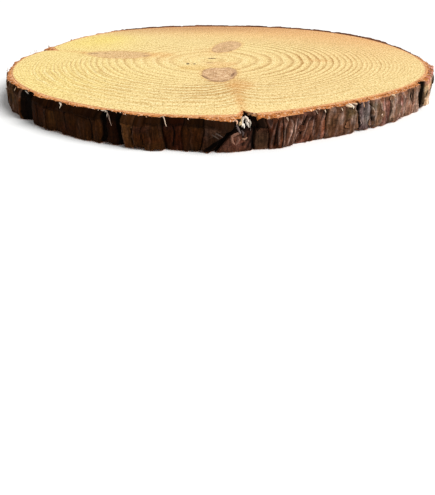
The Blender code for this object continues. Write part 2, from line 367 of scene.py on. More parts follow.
def new_finish(name, numbers):
    """A new material, its node tree and its shader, whose own sockets take the numbers given."""
    finish = bpy.data.materials.new(name)
    finish.use_nodes = True
    shader = finish.node_tree.nodes["Principled BSDF"]
    for socket, number in numbers.items():
        shader.inputs[socket].default_value = number
    return finish, finish.node_tree, shader


def layered(tree, colour, layers):
    """A colour with tones laid over it, one after the other, each by a mask.

    A tone is absent where its mask is at low or beyond, and has its full strength at high.
    """
    for mask, low, high, strength, tone in layers:
        share = add_node(tree, "MapRange", {0: mask, 1: low, 2: high, 4: strength}, **SMOOTH)
        colour = add_node(tree, "Mix", {0: share, 6: colour, 7: tone}, **MIX)
    return colour


def pine_end_grain():
    """Pine end grain, sawn and sanded: dull pale straw, each ring shading to a tan latewood line.

    Tan heartwood tones and a yellow cast come and go over a hand's width, the cut fibres give a
    grain of about a millimetre, and knots are pink-brown with a darker edge.
    """
    finish, tree, shader = new_finish("sanded pine end grain", {"IOR": 1.45, "Specular IOR Level": 0.3})
    place = add_node(tree, "TexCoord", output="Object")
    fields = {}
    for name in ("ring_age", "knot", "knot_edge", "knot_depth", "stain", "tan", "yellow", "rim_near",
                 "dusk", "ring_contrast", "band_age", "band_contrast"):
        fields[name] = add_node(tree, "Attribute", output="Fac", attribute_name=name)
    # The sander draws pores and fibres out a little along Y, and scratches the face in long strokes
    drawn_out = add_node(tree, "Mapping", {"Vector": place, "Scale": (1.0, 0.45, 1.0)})
    sanding = add_node(tree, "Mapping", {
        "Vector": place, "Rotation": (0.0, 0.0, 0.35), "Scale": (1.0, 22.0, 1.0)})
    noises = []
    # What each noise reads, its size in millimetres, detail and roughness
    for vector, size, detail, rough in (
        (place, 30.0, 2.0, 0.5),
        (place, 4.0, 1.0, 0.5),
        (place, 22.0, 3.0, 0.5),
        (sanding, 25.0, 2.0, 0.5),
        (place, 9.0, 3.0, 0.5),
        (place, 6.0, 3.0, 0.5),
        (place, 4.6, 3.0, 0.6),
        (drawn_out, 1.3, 0.0, 0.5),
        (place, 1.2, 2.0, 0.5),
    ):
        noises.append(add_node(tree, "TexNoise", {
            "Vector": vector, "Scale": 1.0 / (size * MM), "Detail": detail, "Roughness": rough}))
    slow, quick, patch, scratches, blotch, frayed, mottle, pores, fibres = noises

    # Rings wander by a quarter of their width with the slow noise, and shiver with the quick one.
    # Each darkens late, ends in a sharp line, and is a little darker or paler than its neighbours
    age = fields["ring_age"]
    for noise, sway in ((slow, 0.45), (quick, 0.25)):
        age = add_node(tree, "Math", {0: noise, 1: sway, 2: age}, operation="MULTIPLY_ADD")
    phase = add_node(tree, "Math", {0: age}, operation="FRACT")
    number = add_node(tree, "Math", {0: age}, operation="FLOOR")
    line = add_node(tree, "MapRange", {0: phase, 1: 0.48, 2: 0.86}, **SMOOTH)
    fall = add_node(tree, "MapRange", {0: phase, 1: 1.0, 2: 0.92, 3: 0.25}, **SMOOTH)
    each = add_node(tree, "TexWhiteNoise", {"W": number}, noise_dimensions="1D")
    each = add_node(tree, "MapRange", {0: each, 3: 0.60, 4: 1.15})
    patch = add_node(tree, "MapRange", {0: patch, 1: 0.35, 2: 0.65, 3: 0.65, 4: 1.15}, **SMOOTH)
    for factor in (fall, fields["ring_contrast"], each, patch):
        line = add_node(tree, "Math", {0: line, 1: factor}, operation="MULTIPLY")
    pale = add_node(tree, "MapRange", {0: phase, 1: 0.02, 2: 0.10}, **SMOOTH)
    pale_end = add_node(tree, "MapRange", {0: phase, 1: 0.35, 2: 0.12, 4: 0.5}, **SMOOTH)
    pale = add_node(tree, "Math", {0: pale, 1: pale_end}, operation="MULTIPLY")
    colour = "f9de9c"
    for share, tone in ((fields["yellow"], "fbe27a"), (fields["tan"], "f0a967"), (pale, "fbe5aa")):
        colour = add_node(tree, "Mix", {0: share, 6: colour, 7: tone}, **MIX)

    # Rays: streaks that run out from the pith, 95 to a radian, which is about a millimetre wide half
    # way out and coarser than the real ones, so that they show
    centred = add_node(tree, "VectorMath", {0: place, 1: (*(LOG_AXIS + PITH), 0.0)}, operation="SUBTRACT")
    level = add_node(tree, "VectorMath", {0: centred, 1: (1.0, 1.0, 0.0)}, operation="MULTIPLY")
    outward = add_node(tree, "VectorMath", {0: level}, operation="NORMALIZE")
    rays = add_node(tree, "TexNoise", {"Vector": outward, "Scale": 95.0, "Detail": 3.0, "Roughness": 0.7})

    # Bands: paler and darker groups of rings, as the sine of their own age
    bands = fields["band_age"]
    for noise, sway in ((slow, 1.4), (quick, 0.35)):
        bands = add_node(tree, "Math", {0: noise, 1: sway, 2: bands}, operation="MULTIPLY_ADD")
    bands = add_node(tree, "Math", {0: bands, 1: 2.0 * math.pi}, operation="MULTIPLY")
    bands = add_node(tree, "Math", {0: bands}, operation="SINE")
    for factor in (fields["band_contrast"], patch):
        bands = add_node(tree, "Math", {0: bands, 1: factor}, operation="MULTIPLY")
    colour = layered(tree, colour, (
        (rays, 0.5, 0.75, 0.22, "f6e2b2"),
        (bands, 0.1, 1.6, 0.80, "cd9f58"),
        (bands, -0.1, -1.3, 0.65, "fdeab4"),
        (scratches, 0.42, 0.70, 0.16, "d2ad70"),
    ))

    # The blotched stain round a buried branch, the latewood lines, and the wood against the bark
    blotch = add_node(tree, "MapRange", {0: blotch, 1: 0.3, 2: 0.65, 3: 0.25, 4: 0.70}, **SMOOTH)
    stain = add_node(tree, "Math", {0: fields["stain"], 1: blotch}, operation="MULTIPLY")
    late = add_node(tree, "Mix", {0: fields["tan"], 6: "c08e4a", 7: "b67c42"}, **MIX)
    for share, tone in ((stain, "e4aa62"), (line, late), (fields["dusk"], "bb8556")):
        colour = add_node(tree, "Mix", {0: share, 6: colour, 7: tone}, **MIX)
    rim_near = add_node(tree, "Math", {0: quick, 1: 0.7, 2: fields["rim_near"]}, operation="MULTIPLY_ADD")

    # Knots: a halo, the knot's own wood with its rings, and a dark line on the edge, all ragged
    knot = add_node(tree, "Math", {0: frayed, 1: 0.20, 2: fields["knot"]}, operation="MULTIPLY_ADD")
    knot = add_node(tree, "Math", {0: knot, 1: 0.10}, operation="SUBTRACT")
    colour = layered(tree, colour, (
        (rim_near, 0.60, 1.25, 0.80, "eda873"),
        (knot, 1.4, 1.0, 0.45, "e6b06c"),
    ))
    turns = add_node(tree, "Math", {0: knot, 1: 4.0, 2: slow}, operation="MULTIPLY_ADD")
    turns = add_node(tree, "Math", {0: turns}, operation="FRACT")
    knot_wood = layered(tree, "d9ab82", (
        (turns, 0.3, 0.95, 0.30, "bd9064"),
        (mottle, 0.48, 0.66, 0.80, "f0cba2"),
        (mottle, 0.50, 0.34, 0.70, "aa8058"),
    ))
    inside = add_node(tree, "MapRange", {0: knot, 1: 1.06, 2: 0.94}, **SMOOTH)
    inside = add_node(tree, "Math", {0: inside, 1: fields["knot_depth"]}, operation="MULTIPLY")
    edge = add_node(tree, "MapRange", {0: knot, 1: 0.84, 2: 0.98}, **SMOOTH)
    edge_end = add_node(tree, "MapRange", {0: knot, 1: 1.08, 2: 1.0}, **SMOOTH)
    broken = add_node(tree, "MapRange", {0: patch, 1: 0.7, 2: 1.1, 3: 0.35}, **SMOOTH)
    for factor in (edge_end, fields["knot_edge"], broken):
        edge = add_node(tree, "Math", {0: edge, 1: factor}, operation="MULTIPLY")
    for share, tone in ((inside, knot_wood), (edge, "9c6c42")):
        colour = add_node(tree, "Mix", {0: share, 6: colour, 7: tone}, **MIX)

    # Marks: the length of the place in each mark's own measure is 1 on its edge
    for (x, y), half_length, half_width, bearing, depth, code in MARKS:
        middle = (LOG_AXIS[0] + x * MM, LOG_AXIS[1] + y * MM, THICKNESS)
        mapped = add_node(tree, "Mapping", {
            "Vector": place, "Location": middle, "Rotation": (0.0, 0.0, math.radians(bearing)),
            "Scale": (half_length * MM, half_width * MM, 4.0 * MM)}, vector_type="TEXTURE")
        reach = add_node(tree, "VectorMath", {0: mapped}, output="Value", operation="LENGTH")
        reach = add_node(tree, "Math", {0: quick, 1: 0.8, 2: reach}, operation="MULTIPLY_ADD")
        colour = layered(tree, colour, ((reach, 1.8, 1.0, depth, code),))

    # Cut fibres: what each noise reads, size in mm, detail, and how dark and how pale it makes them
    for vector, size, detail, dark, light in (
        (place, 6.0, 3.0, 0.20, 0.10),
        (drawn_out, 1.7, 2.0, 0.60, 0.45),
        (drawn_out, 1.0, 1.0, 1.00, 0.80),
    ):
        fibre = add_node(tree, "TexNoise", {
            "Vector": vector, "Scale": 1.0 / (size * MM), "Detail": detail})
        for low, high, strength, tone, way in (
            (0.52, 0.34, dark, "ded8c3", "MULTIPLY"),
            (0.48, 0.68, light, "566052", "ADD"),
        ):
            share = add_node(tree, "MapRange", {0: fibre, 1: low, 2: high, 4: strength}, **SMOOTH)
            colour = add_node(tree, "Mix", {0: share, 6: colour, 7: tone}, blend_type=way, **MIX)
    colour = layered(tree, colour, ((pores, 0.68, 0.80, 0.5, "8f6535"),))
    tree.links.new(colour, shader.inputs["Base Color"])
    rough = add_node(tree, "MapRange", {0: mottle, 1: 0.3, 2: 0.7, 3: 0.58, 4: 0.74}, **SMOOTH)
    tree.links.new(rough, shader.inputs["Roughness"])
    relief = add_node(tree, "Math", {0: line, 1: 0.5, 2: fibres}, operation="MULTIPLY_ADD")
    bump = add_node(tree, "Bump", {"Height": relief, "Strength": 0.4, "Distance": 0.25 * MM})
    tree.links.new(bump, shader.inputs["Normal"])
    return finish


def build_wood(finish):
    """The disc: each face is a grid of rays from the pith, and the wall joins the two rims.

    A point of a face is the pith plus a share of the way to the rim at its bearing.
    """
    bearings = [np.arange(RIM_STEPS) * 360.0 / RIM_STEPS]
    for tip, _, before, after in NOTCHES:
        bearings += [tip - before * FLANK_SHARES, tip + after * FLANK_SHARES]
    bearings = np.unique(np.round(np.concatenate(bearings), 3))
    count = len(bearings)
    rim = plan_points(bearings, wood_radius(bearings))
    shares = (np.arange(1, RADIAL_STEPS) / RADIAL_STEPS) ** RING_CROWDING
    shares = np.append(shares, 1.0 - np.array(RIM_SHARES))
    rays = PITH + shares[:, None, None] * (rim - PITH)
    plan = np.concatenate([PITH[None, :], rays.reshape(-1, 2)])
    face_size = len(plan)
    ring = 1 + np.arange(count)
    hub = np.column_stack([np.zeros(count, int), ring, np.roll(ring, -1)])
    sheet = grid_quads(len(shares), count, 1)[:, ::-1]
    top_points = np.column_stack([plan + LOG_AXIS, np.full(face_size, THICKNESS)])
    low_points = np.column_stack([plan + LOG_AXIS, np.zeros(face_size)])
    top_rim = face_size - count + np.arange(count)
    low_rim = top_rim + face_size
    wall = np.column_stack([low_rim, np.roll(low_rim, -1), np.roll(top_rim, -1), top_rim])
    face_sets = [hub, sheet, hub[:, ::-1] + face_size, sheet[:, ::-1] + face_size, wall]
    top_fields = wood_fields(plan / MM, 0.0)
    low_fields = wood_fields(plan / MM, UNDERSIDE_KNOT_SHIFT)
    fields = {key: np.concatenate([top_fields[key], low_fields[key]]) for key in top_fields}
    points = np.concatenate([top_points, low_points])
    return add_mesh("wood_disc", points, face_sets, fields, (finish,))


wood_disc = build_wood(pine_end_grain())
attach(wood_disc, "root")
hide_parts("wood")

# The bark: a ring of dry pine bark that still grips the wood. Dark plates part at deep fissures
# that run up the log, each plate is built of thin scales, and the saw bared its rust-brown edge.
BARK_THICKNESS = 6.5 * MM
BARK_GAP = 0.3 * MM
THINNEST_BARK = 1.6 * MM
# Lobes of the bark's own thickness, as those of the wood
BARK_LOBES = (
    (1, 1.8 * MM, 265.0),
    (2, 2.6 * MM, 85.0),
)
# Lumps and hollows: bearing and half-width in degrees, level below the top, half-height and
# stand-out in millimetres
SCARS = (
    (271.6, 3.2, 0.0, 7.0, 4.2),
    (272.8, 2.4, 13.5, 5.0, 2.2),
    (272.0, 0.9, 4.0, 2.5, 1.2),
    (276.4, 1.0, 0.0, 6.5, -16.0),
    (281.5, 2.6, 0.0, 9.0, 2.6),
    (159.6, 1.6, 0.0, 30.0, 1.0),
    (18.0, 9.0, 11.0, 60.0, -2.2),
)
# Plates of bark: left and right edge at the top, left and right edge at the foot, how far the
# plate stands out at its left and right edge, in millimetres, and its tone
# The dark tones of the plates on the left are partly the bark's own colour and partly painted shade
FRONT_PLATES = (
    (200.0, 213.0, 200.0, 213.6, 0.5, 1.2, "42250c"),
    (218.8, 225.3, 219.2, 225.2, 0.8, 0.6, "2d1605"),
    (225.6, 242.6, 225.5, 242.9, 0.2, 0.8, "2d1604"),
    (244.0, 246.4, 244.4, 246.8, 0.2, -0.6, "200c02"),
    (248.2, 251.1, 248.4, 251.3, 1.2, 1.4, "4b2c12"),
    (251.4, 257.3, 251.6, 257.5, 1.8, 1.6, "341b07"),
    (257.7, 262.0, 257.9, 262.1, -2.4, -1.8, "2c1305"),
    (262.2, 266.2, 262.3, 266.3, -1.0, 0.2, "281404"),
    (266.5, 273.4, 266.6, 268.0, 1.4, 3.4, "2c190d"),
    (274.9, 277.4, 269.2, 277.6, 2.2, 1.2, "4a2d21"),
    (277.8, 280.8, 277.9, 281.0, 0.2, 0.6, "4d3325"),
    (281.1, 284.8, 281.2, 284.7, 2.2, 2.0, "492717"),
    (285.1, 290.0, 284.9, 288.4, 2.6, -0.4, "502f20"),
    (290.2, 294.5, 288.8, 292.0, -1.2, -1.6, "694333"),
    (294.7, 297.0, 292.3, 296.8, -2.0, -1.4, "533222"),
    (297.2, 306.5, 297.1, 307.4, -0.4, 0.2, "593b28"),
    (307.6, 310.6, 308.5, 311.6, 0.2, 0.6, "634b48"),
    (311.0, 315.0, 313.1, 315.2, 1.0, 1.4, "684c39"),
    (315.2, 318.8, 315.3, 318.7, 1.2, 0.8, "6b4337"),
    (319.0, 322.0, 319.0, 322.2, 0.6, 0.9, "684f3e"),
    (322.2, 326.0, 322.3, 326.1, 0.9, 0.7, "6e4f40"),
    (326.2, 334.2, 326.3, 334.4, 0.0, 0.6, "785b4a"),
    (336.8, 345.3, 336.6, 345.0, 2.4, 1.6, "a98a69"),
    (345.5, 351.0, 345.2, 351.2, 1.0, 2.0, "715942"),
    (351.2, 357.2, 351.4, 357.3, 2.0, 1.6, "654a36"),
    (357.7, 362.0, 357.8, 362.2, 0.4, 0.0, "6e573f"),
    (362.2, 369.0, 362.5, 369.2, 0.2, -0.8, "50372b"),
)
SIDE_PLATES = (
    (497.3, 499.8, 497.3, 499.6, 1.4, 1.8, "543e2f"),
    (500.2, 509.6, 500.4, 509.4, -1.0, -2.4, "483222"),
    (510.0, 516.6, 509.8, 516.8, -2.6, -2.4, "583f2f"),
    (517.2, 522.4, 517.2, 522.6, 2.0, 0.4, "5f3b26"),
    (523.9, 529.6, 523.8, 529.8, -2.2, -1.6, "493426"),
    (530.0, 535.8, 530.0, 535.9, -1.0, -0.8, "513727"),
    (536.1, 543.4, 536.0, 543.1, -1.0, -1.4, "462f20"),
    (543.9, 552.0, 543.5, 551.7, -1.8, -1.4, "533b27"),
    (552.3, 559.6, 552.2, 559.7, -1.8, -0.6, "5a432e"),
)
# The rule for the plates of the far side: widths, gaps and leans in degrees, how far each stands out
# at one edge and how much that changes to the other in millimetres, and tones
BARK_SEED = 12
PLATE_WIDTHS = (3.6, 9.5)
PLATE_GAPS = (0.3, 0.3, 0.5, 0.9, 1.6)
PLATE_LEAN = 1.2
PLATE_STAND_OUT = (-1.0, 1.8)
PLATE_TILT = 0.6
PLATE_TONES = ("483222", "584030", "3e281a", "624b39", "4d3727", "67513e", "422c1f", "583d2d")
# The edge of a plate is rounded off over this width, or this share of a narrow plate, and drops
EDGE_ROUND = 0.8 * MM
WIDEST_EDGE = 0.25
EDGE_DROP = 0.7 * MM
# A gap narrower than this is a crack. A wider one is a fissure, which is deeper the wider it is: points
# of its floor are a share of the way across, and a part of its depth
CRACK_WIDTH = 1.3 * MM
CRACK_DEPTH = 1.1 * MM
FISSURE_DEPTH = 1.6 * MM
FISSURE_DEEPENING = 0.35
DEEPEST_FISSURE = 5.0 * MM
FISSURE_FLOOR = ((0.2, 0.8), (0.75, 1.0))
# The widest steps between columns, at first and once they are refined, and how many rows of points go
# up the wall and across each rim
COLUMN_SPACING = 5.0 * MM
FINE_SPACING = 0.72 * MM
FINE_ROWS = 40
RIM_ROWS = 8
# Waves round the bark: height, how many go round, how far they drift from foot to top, and phase.
# The first move the fissures sideways, in degrees, and the others stand out, in millimetres
WANDER_WAVES = (
    (0.22, 31.0, 2.6, 0.0),
    (0.12, 67.0, -4.1, 1.3),
    (0.07, 101.0, 7.0, 4.0),
)
SWELL_WAVES = (
    (0.35, 37.0, 1.9, 0.6),
    (0.25, 59.0, -3.3, 2.2),
    (0.20, 88.0, 5.1, 5.0),
)
# Uneven wavering of all that runs up the bark: cells round and up, seed, and how many degrees
PLATE_WAVERS = (
    (72, 3, 21, 0.45),
    (200, 7, 22, 0.30),
)
# The relief of the scales lies this much lower, and it and the fine relief leave at least the first
# of these shares of the thinnest bark, and the chips in the corner of the rim the second
RELIEF_SUNK = 0.3 * MM
LEAST_BARK = (0.5, 0.4)
CHIP_DEPTH = 0.6 * MM
CHIP_FADE = 0.9 * MM
# The wall sinks with its rim from this share of the height on
WALL_SINK = 0.62
# Patches of another tone: bearing and half-width in degrees, level below the top and half-height
# in millimetres, tone, and strength
# The near-black ones at 275.6, 276.2, 279.0, 292.6, 307.2 and 335.6 degrees are painted shade: in the
# hollow of the folded scar, under broken rim and in fissures
PATCHES = (
    (206.0, 3.0, 5.0, 8.0, "5c3c1d", 0.7),
    (227.5, 1.2, 10.0, 6.0, "42260b", 0.8),
    (253.0, 2.0, 6.0, 4.0, "361b12", 0.6),
    (259.0, 2.0, 5.0, 3.0, "2a130e", 0.6),
    (264.5, 1.4, 8.0, 4.0, "331a05", 0.7),
    (269.0, 2.0, 6.0, 4.5, "442d20", 0.9),
    (273.5, 3.0, 17.0, 6.5, "553427", 0.9),
    (275.6, 2.6, 6.5, 4.0, "120a07", 0.9),
    (276.2, 1.9, 2.0, 6.0, "060201", 1.0),
    (279.0, 1.8, 1.0, 4.5, "0c0502", 0.9),
    (277.0, 1.0, 15.0, 8.0, "2b1410", 0.6),
    (279.5, 1.5, 16.0, 6.0, "4a3321", 0.7),
    (287.0, 1.6, 14.0, 8.0, "6b4635", 0.6),
    (292.6, 1.6, 3.0, 4.0, "1e0d09", 0.8),
    (296.0, 0.7, 14.0, 8.0, "8e4f36", 0.4),
    (302.0, 3.0, 12.0, 8.0, "5d3d2a", 0.6),
    (304.5, 1.6, 6.0, 4.0, "4d4027", 0.6),
    (307.2, 0.8, 2.0, 4.0, "080302", 0.9),
    (309.6, 1.2, 10.0, 9.0, "655b56", 0.7),
    (312.5, 1.2, 4.0, 4.0, "5e5240", 0.7),
    (316.8, 0.8, 10.0, 11.0, "745245", 0.5),
    (323.6, 0.5, 8.0, 9.0, "7b483a", 0.6),
    (329.0, 2.0, 14.0, 5.0, "886557", 0.5),
    (335.6, 1.5, 12.0, 30.0, "040201", 1.0),
    (341.0, 3.9, 11.0, 11.0, "b08f6c", 0.8),
    (323.0, 11.0, 0.5, 3.0, "805437", 0.6),
    (341.0, 4.2, 0.5, 3.0, "a04f2b", 1.0),
    (351.0, 6.0, 0.5, 3.0, "96492a", 0.95),
)
# Tints that come and go over the plates: cells round the log and up it, seed, and the factors on
# red, green and blue
TINTS = (
    (84, 3, 11, (1.45, 0.85, 0.75)),
    (96, 4, 12, (0.98, 1.05, 0.85)),
    (120, 4, 13, (1.04, 0.93, 1.15)),
    (70, 3, 10, (1.30, 1.15, 0.90)),
)
# Where the rim is broken away: bearing and half-width in degrees, how deep in millimetres, and the
# share of its width that this reaches in
RIM_CHIPS = (
    (277.5, 1.3, 4.0, 0.95),
    (279.9, 1.9, 3.6, 0.45),
    (307.0, 0.5, 2.0, 0.50),
    (243.4, 0.6, 1.6, 0.40),
    (227.4, 1.8, 1.6, 0.25),
    (216.0, 1.5, 1.6, 0.35),
    (335.0, 1.4, 2.0, 0.40),
    (293.0, 1.0, 1.4, 0.30),
)
# The rounded shoulder of the bark outside the sawn band, dark with painted shade: bearings, and its share
# of the width
SHOULDER = (
    (198.0, 0.00), (206.0, 0.30), (213.0, 0.40), (219.0, 0.28), (228.0, 0.45), (236.0, 0.50), (242.0, 0.60),
    (247.0, 0.60), (250.0, 0.48), (262.0, 0.48), (268.0, 0.30), (273.0, 0.15), (276.0, 0.00),
)
SHOULDER_DROP = 2.6 * MM
# Where the rim is weathered brown: from and to which bearing, over how many degrees it fades, how
# brown it is outside and next to the wood, and how flat it lies there. Flat, it is raised a little
WEATHERED_RIM = (
    (6.0, 126.0, 12.0, 1.00, 0.70, 1.0),
    (338.5, 357.0, 2.5, 0.50, 0.20, 0.0),
)
FLAT_RISE = 0.25 * MM
# Seeds of the two rims: each ring of points across a rim takes the next number
LOW_RIM_SEED = 40
TOP_RIM_SEED = 60
# Edges of thin scales: the side that stands up (1 is the side of the higher bearing), how far in
# millimetres, how strong the painted highlight along the edge is, and points along it as bearing and level
# below the top
SCALE_EDGES = (
    (1, 0.5, 0.40, ((209.8, 0.5), (210.7, 7.0), (212.0, 14.6), (212.9, 20.0))),
    (1, 1.0, 0.40, ((224.9, 5.5), (224.9, 13.4), (224.7, 22.0))),
    (1, 0.7, 0.55, ((247.9, 2.0), (248.5, 5.9), (248.2, 10.9), (248.8, 16.9), (249.0, 21.5))),
    (1, 0.9, 0.80, ((251.3, 2.3), (250.8, 6.5), (251.2, 9.8), (250.8, 13.4), (251.2, 16.7),
                    (251.3, 21.5))),
    (1, 0.5, 0.15, ((237.0, 3.0), (236.4, 10.0), (237.2, 22.0))),
    (-1, 0.5, 0.20, ((255.0, 3.0), (254.6, 9.0), (255.3, 15.0), (254.9, 22.0))),
    (1, 0.5, 0.20, ((263.6, 3.5), (264.2, 10.0), (263.8, 16.0), (264.3, 22.0))),
    (-1, 0.6, 0.30, ((270.8, 3.0), (270.2, 6.5), (269.2, 10.0), (267.6, 13.0))),
    (-1, 0.8, 0.35, ((276.0, 11.0), (276.3, 15.9), (276.8, 21.6))),
    (-1, 0.6, 0.35, ((277.4, 13.8), (277.3, 18.0), (277.6, 22.0))),
    (1, 0.5, 0.26, ((282.8, 1.2), (282.1, 9.2), (281.7, 17.4), (281.8, 22.0))),
    (1, 0.5, 0.23, ((284.0, 2.0), (283.4, 9.0), (283.5, 20.0))),
    (-1, 0.9, 0.33, ((285.5, 4.1), (285.0, 10.2), (284.9, 19.2), (284.7, 22.0))),
    (-1, 0.9, 0.55, ((286.7, 2.5), (287.2, 6.8), (286.9, 11.5), (286.2, 16.2), (286.0, 21.0))),
    (-1, 1.1, 0.45, ((288.3, 2.4), (287.9, 9.8), (287.5, 18.1), (287.3, 21.5))),
    (-1, 1.2, 0.62, ((290.0, 0.8), (290.0, 3.7), (289.4, 8.4), (289.0, 13.1), (288.3, 18.4),
                     (288.1, 22.0))),
    (-1, 0.9, 0.36, ((292.6, 1.6), (291.6, 7.1), (290.9, 13.1), (290.2, 19.9))),
    (1, 1.1, 0.39, ((296.6, 0.7), (295.7, 8.7), (295.5, 17.9), (295.0, 22.0))),
    (1, 0.5, 0.20, ((300.6, 4.0), (300.0, 12.0), (300.5, 22.0))),
    (-1, 1.4, 0.95, ((305.7, 4.5), (307.0, 6.6), (307.8, 10.2), (308.3, 16.3), (307.8, 21.2))),
    (-1, 0.9, 0.80, ((310.2, 2.2), (311.5, 5.1), (312.4, 8.9), (312.2, 14.6), (312.6, 20.0))),
    (1, 0.6, 0.60, ((314.1, 0.8), (315.0, 11.0), (315.1, 21.0))),
    (-1, 0.6, 0.70, ((316.4, 0.8), (316.5, 8.8), (317.9, 20.3))),
    (1, 0.6, 0.60, ((318.3, 0.8), (319.3, 8.8), (319.1, 19.5))),
    (-1, 0.7, 0.75, ((321.3, 0.8), (321.5, 8.5), (323.1, 19.6))),
    (1, 0.6, 0.60, ((324.0, 0.8), (325.7, 8.7), (325.4, 19.8))),
    (-1, 0.6, 0.70, ((327.6, 0.8), (328.5, 8.9), (330.8, 20.0))),
    (1, 0.6, 0.60, ((331.0, 0.8), (331.2, 9.0), (332.4, 20.0))),
)
# Cracks: half-width and depth in millimetres, and points along each as bearing and level
CRACKS = (
    (2.3, 2.2, ((275.0, 2.0), (274.2, 5.0), (272.4, 9.0), (270.4, 13.6), (268.6, 18.0), (267.4, 22.0))),
    (1.3, 1.6, ((274.2, 0.8), (274.4, 4.0), (275.6, 8.0))),
    (1.4, 1.4, ((278.2, 3.0), (277.8, 9.0), (277.5, 15.0), (277.7, 22.0))),
    (0.7, 0.9, ((271.9, 11.4), (270.6, 14.6), (269.9, 16.6))),
    (0.6, 0.9, ((275.4, 9.5), (275.2, 14.0), (275.5, 21.0))),
    (0.6, 0.9, ((276.5, 9.5), (276.2, 14.0), (276.6, 21.0))),
    (0.6, 0.8, ((283.2, 0.8), (282.8, 8.0), (282.5, 21.0))),
    (0.8, 1.0, ((291.2, 1.0), (290.6, 6.0), (289.9, 12.0), (289.1, 21.5))),
    (0.6, 0.8, ((329.2, 1.0), (329.7, 9.0), (330.0, 21.0))),
    (0.5, 0.6, ((221.6, 1.5), (222.0, 9.0), (221.6, 21.0))),
    (0.5, 0.6, ((232.4, 1.5), (232.0, 8.0), (232.6, 20.0))),
    (0.5, 0.6, ((240.0, 2.5), (240.4, 10.0), (240.1, 21.0))),
    (0.5, 0.6, ((253.4, 1.5), (253.0, 9.0), (253.5, 20.0))),
    (0.5, 0.6, ((260.0, 1.5), (260.3, 9.0), (259.8, 20.0))),
)
# The rule for the edges of the other scales: how many, the bearings they run between, how far they
# stand out in millimetres, how strong their painted highlight is, how long in millimetres, and how they
# waver in degrees
SCALE_SEED = 8
SCALE_COUNT = 150
SCALE_BEARINGS = (352.0, 560.0)
SCALE_HEIGHTS = (0.4, 1.3)
SCALE_HIGHLIGHTS = (0.25, 0.95)
SCALE_LENGTHS = (6.0, 24.0)
SCALE_WAVER = 0.35
# How far a scale leans, in degrees to a millimetre
SCALE_LEAN = 0.06
# A scale falls away behind its edge over the first of these, and the painted highlight line along the edge
# is the second wide
SCALE_DECAY = 5.0 * MM
SCALE_LINE = 0.55 * MM
# Bearings further than this from an edge or a crack, in degrees, are out of its reach
LINE_REACH = 8.0


def seeded_plates(start, end, rng):
    """Plates drawn by a rule from one bearing to another, stretched to fill that run.

    Both sides of a fissure lean by the same few tenths of a degree from the top to the foot.
    """
    drawn = []
    at = 0.0
    while at < end - start - PLATE_WIDTHS[0]:
        width = rng.uniform(*PLATE_WIDTHS)
        gap = rng.choice(PLATE_GAPS)
        lean = rng.uniform(-PLATE_LEAN, PLATE_LEAN)
        left = rng.uniform(*PLATE_STAND_OUT)
        right = left + rng.uniform(-PLATE_TILT, PLATE_TILT)
        drawn.append((at, at + width, lean, left, right))
        at += width + gap
    stretch = (end - start) / at
    leans = [0.0] + [row[2] for row in drawn[1:]] + [0.0]
    plates = []
    for number, (left_edge, right_edge, _, left, right) in enumerate(drawn):
        first = start + left_edge * stretch
        last = start + right_edge * stretch
        foot = (first + leans[number], last + leans[number + 1])
        tone = PLATE_TONES[number * 5 % len(PLATE_TONES)]
        plates.append((first, last, *foot, left, right, tone))
    return plates


def all_plates():
    """Every plate once round the log: the front ones, seeded ones behind, and those of the left side."""
    rng = random.Random(BARK_SEED)
    start = FRONT_PLATES[-1][1] + PLATE_GAPS[0]
    end = SIDE_PLATES[0][0]
    back = seeded_plates(start, end, rng)
    return list(FRONT_PLATES) + back + list(SIDE_PLATES)


def plate_columns(plate):
    """Columns across one plate: its rounded edges, and others between them about a spacing apart."""
    top_left, top_right, foot_left, foot_right, out_left, out_right = plate[:6]
    width = math.radians(max(top_right - top_left, foot_right - foot_left)) * WOOD_RADIUS
    steps = max(1, round(width / COLUMN_SPACING))
    edge = min(WIDEST_EDGE, EDGE_ROUND / width)
    shares = [0.0] + list(np.linspace(edge, 1.0 - edge, steps + 1)) + [1.0]
    columns = []
    for share in shares:
        out = (out_left + (out_right - out_left) * share) * MM
        if share in (0.0, 1.0):
            out -= EDGE_DROP
        top = top_left + (top_right - top_left) * share
        foot = foot_left + (foot_right - foot_left) * share
        columns.append((top, foot, out))
    return columns


def gap_columns(plate, following):
    """Columns on the floor of the fissure between one plate and the next: wide ones are deeper."""
    top_gap = following[0] - plate[1]
    foot_gap = following[2] - plate[3]
    width = math.radians(max(top_gap, foot_gap)) * WOOD_RADIUS
    lower = min(plate[5], following[4]) * MM
    if width < CRACK_WIDTH:
        floors = ((0.5, lower - CRACK_DEPTH),)
    else:
        depth = min(DEEPEST_FISSURE, FISSURE_DEPTH + FISSURE_DEEPENING * width)
        floors = [(share, lower - part * depth) for share, part in FISSURE_FLOOR]
    columns = []
    for share, out in floors:
        columns.append((plate[1] + top_gap * share, plate[3] + foot_gap * share, out))
    return columns


def bark_columns(plates):
    """Columns once round the bark, as arrays: bearing at the top, bearing at the foot, stand-out,
    1 on the floor of a fissure and 0 on a plate, and the number of the plate.
    """
    closing = tuple(value + 360.0 for value in plates[0][:4]) + plates[0][4:]
    columns = []
    for number, (plate, following) in enumerate(zip(plates, plates[1:] + [closing])):
        columns += [(*column, 0.0, number) for column in plate_columns(plate)]
        columns += [(*column, 1.0, number) for column in gap_columns(plate, following)]
    return np.array(columns).T


def refined(columns):
    """More columns: each step between two is cut into equal parts no wider than the fine spacing."""
    closing = columns[:, :1] + np.array([[360.0], [360.0], [0.0], [0.0], [0.0]])
    ring = np.concatenate([columns, closing], axis=1)
    steps = np.radians(np.diff(ring[0])) * WOOD_RADIUS
    parts = np.maximum(1, np.ceil(steps / FINE_SPACING)).astype(int)
    start = np.repeat(np.arange(len(parts)), parts)
    part = np.arange(parts.sum()) - np.repeat(np.cumsum(parts) - parts, parts)
    where = start + part / parts[start]
    numbers = np.arange(ring.shape[1])
    fine = [np.interp(where, numbers, row) for row in ring[:4]]
    return np.array(fine + [ring[4][start]])


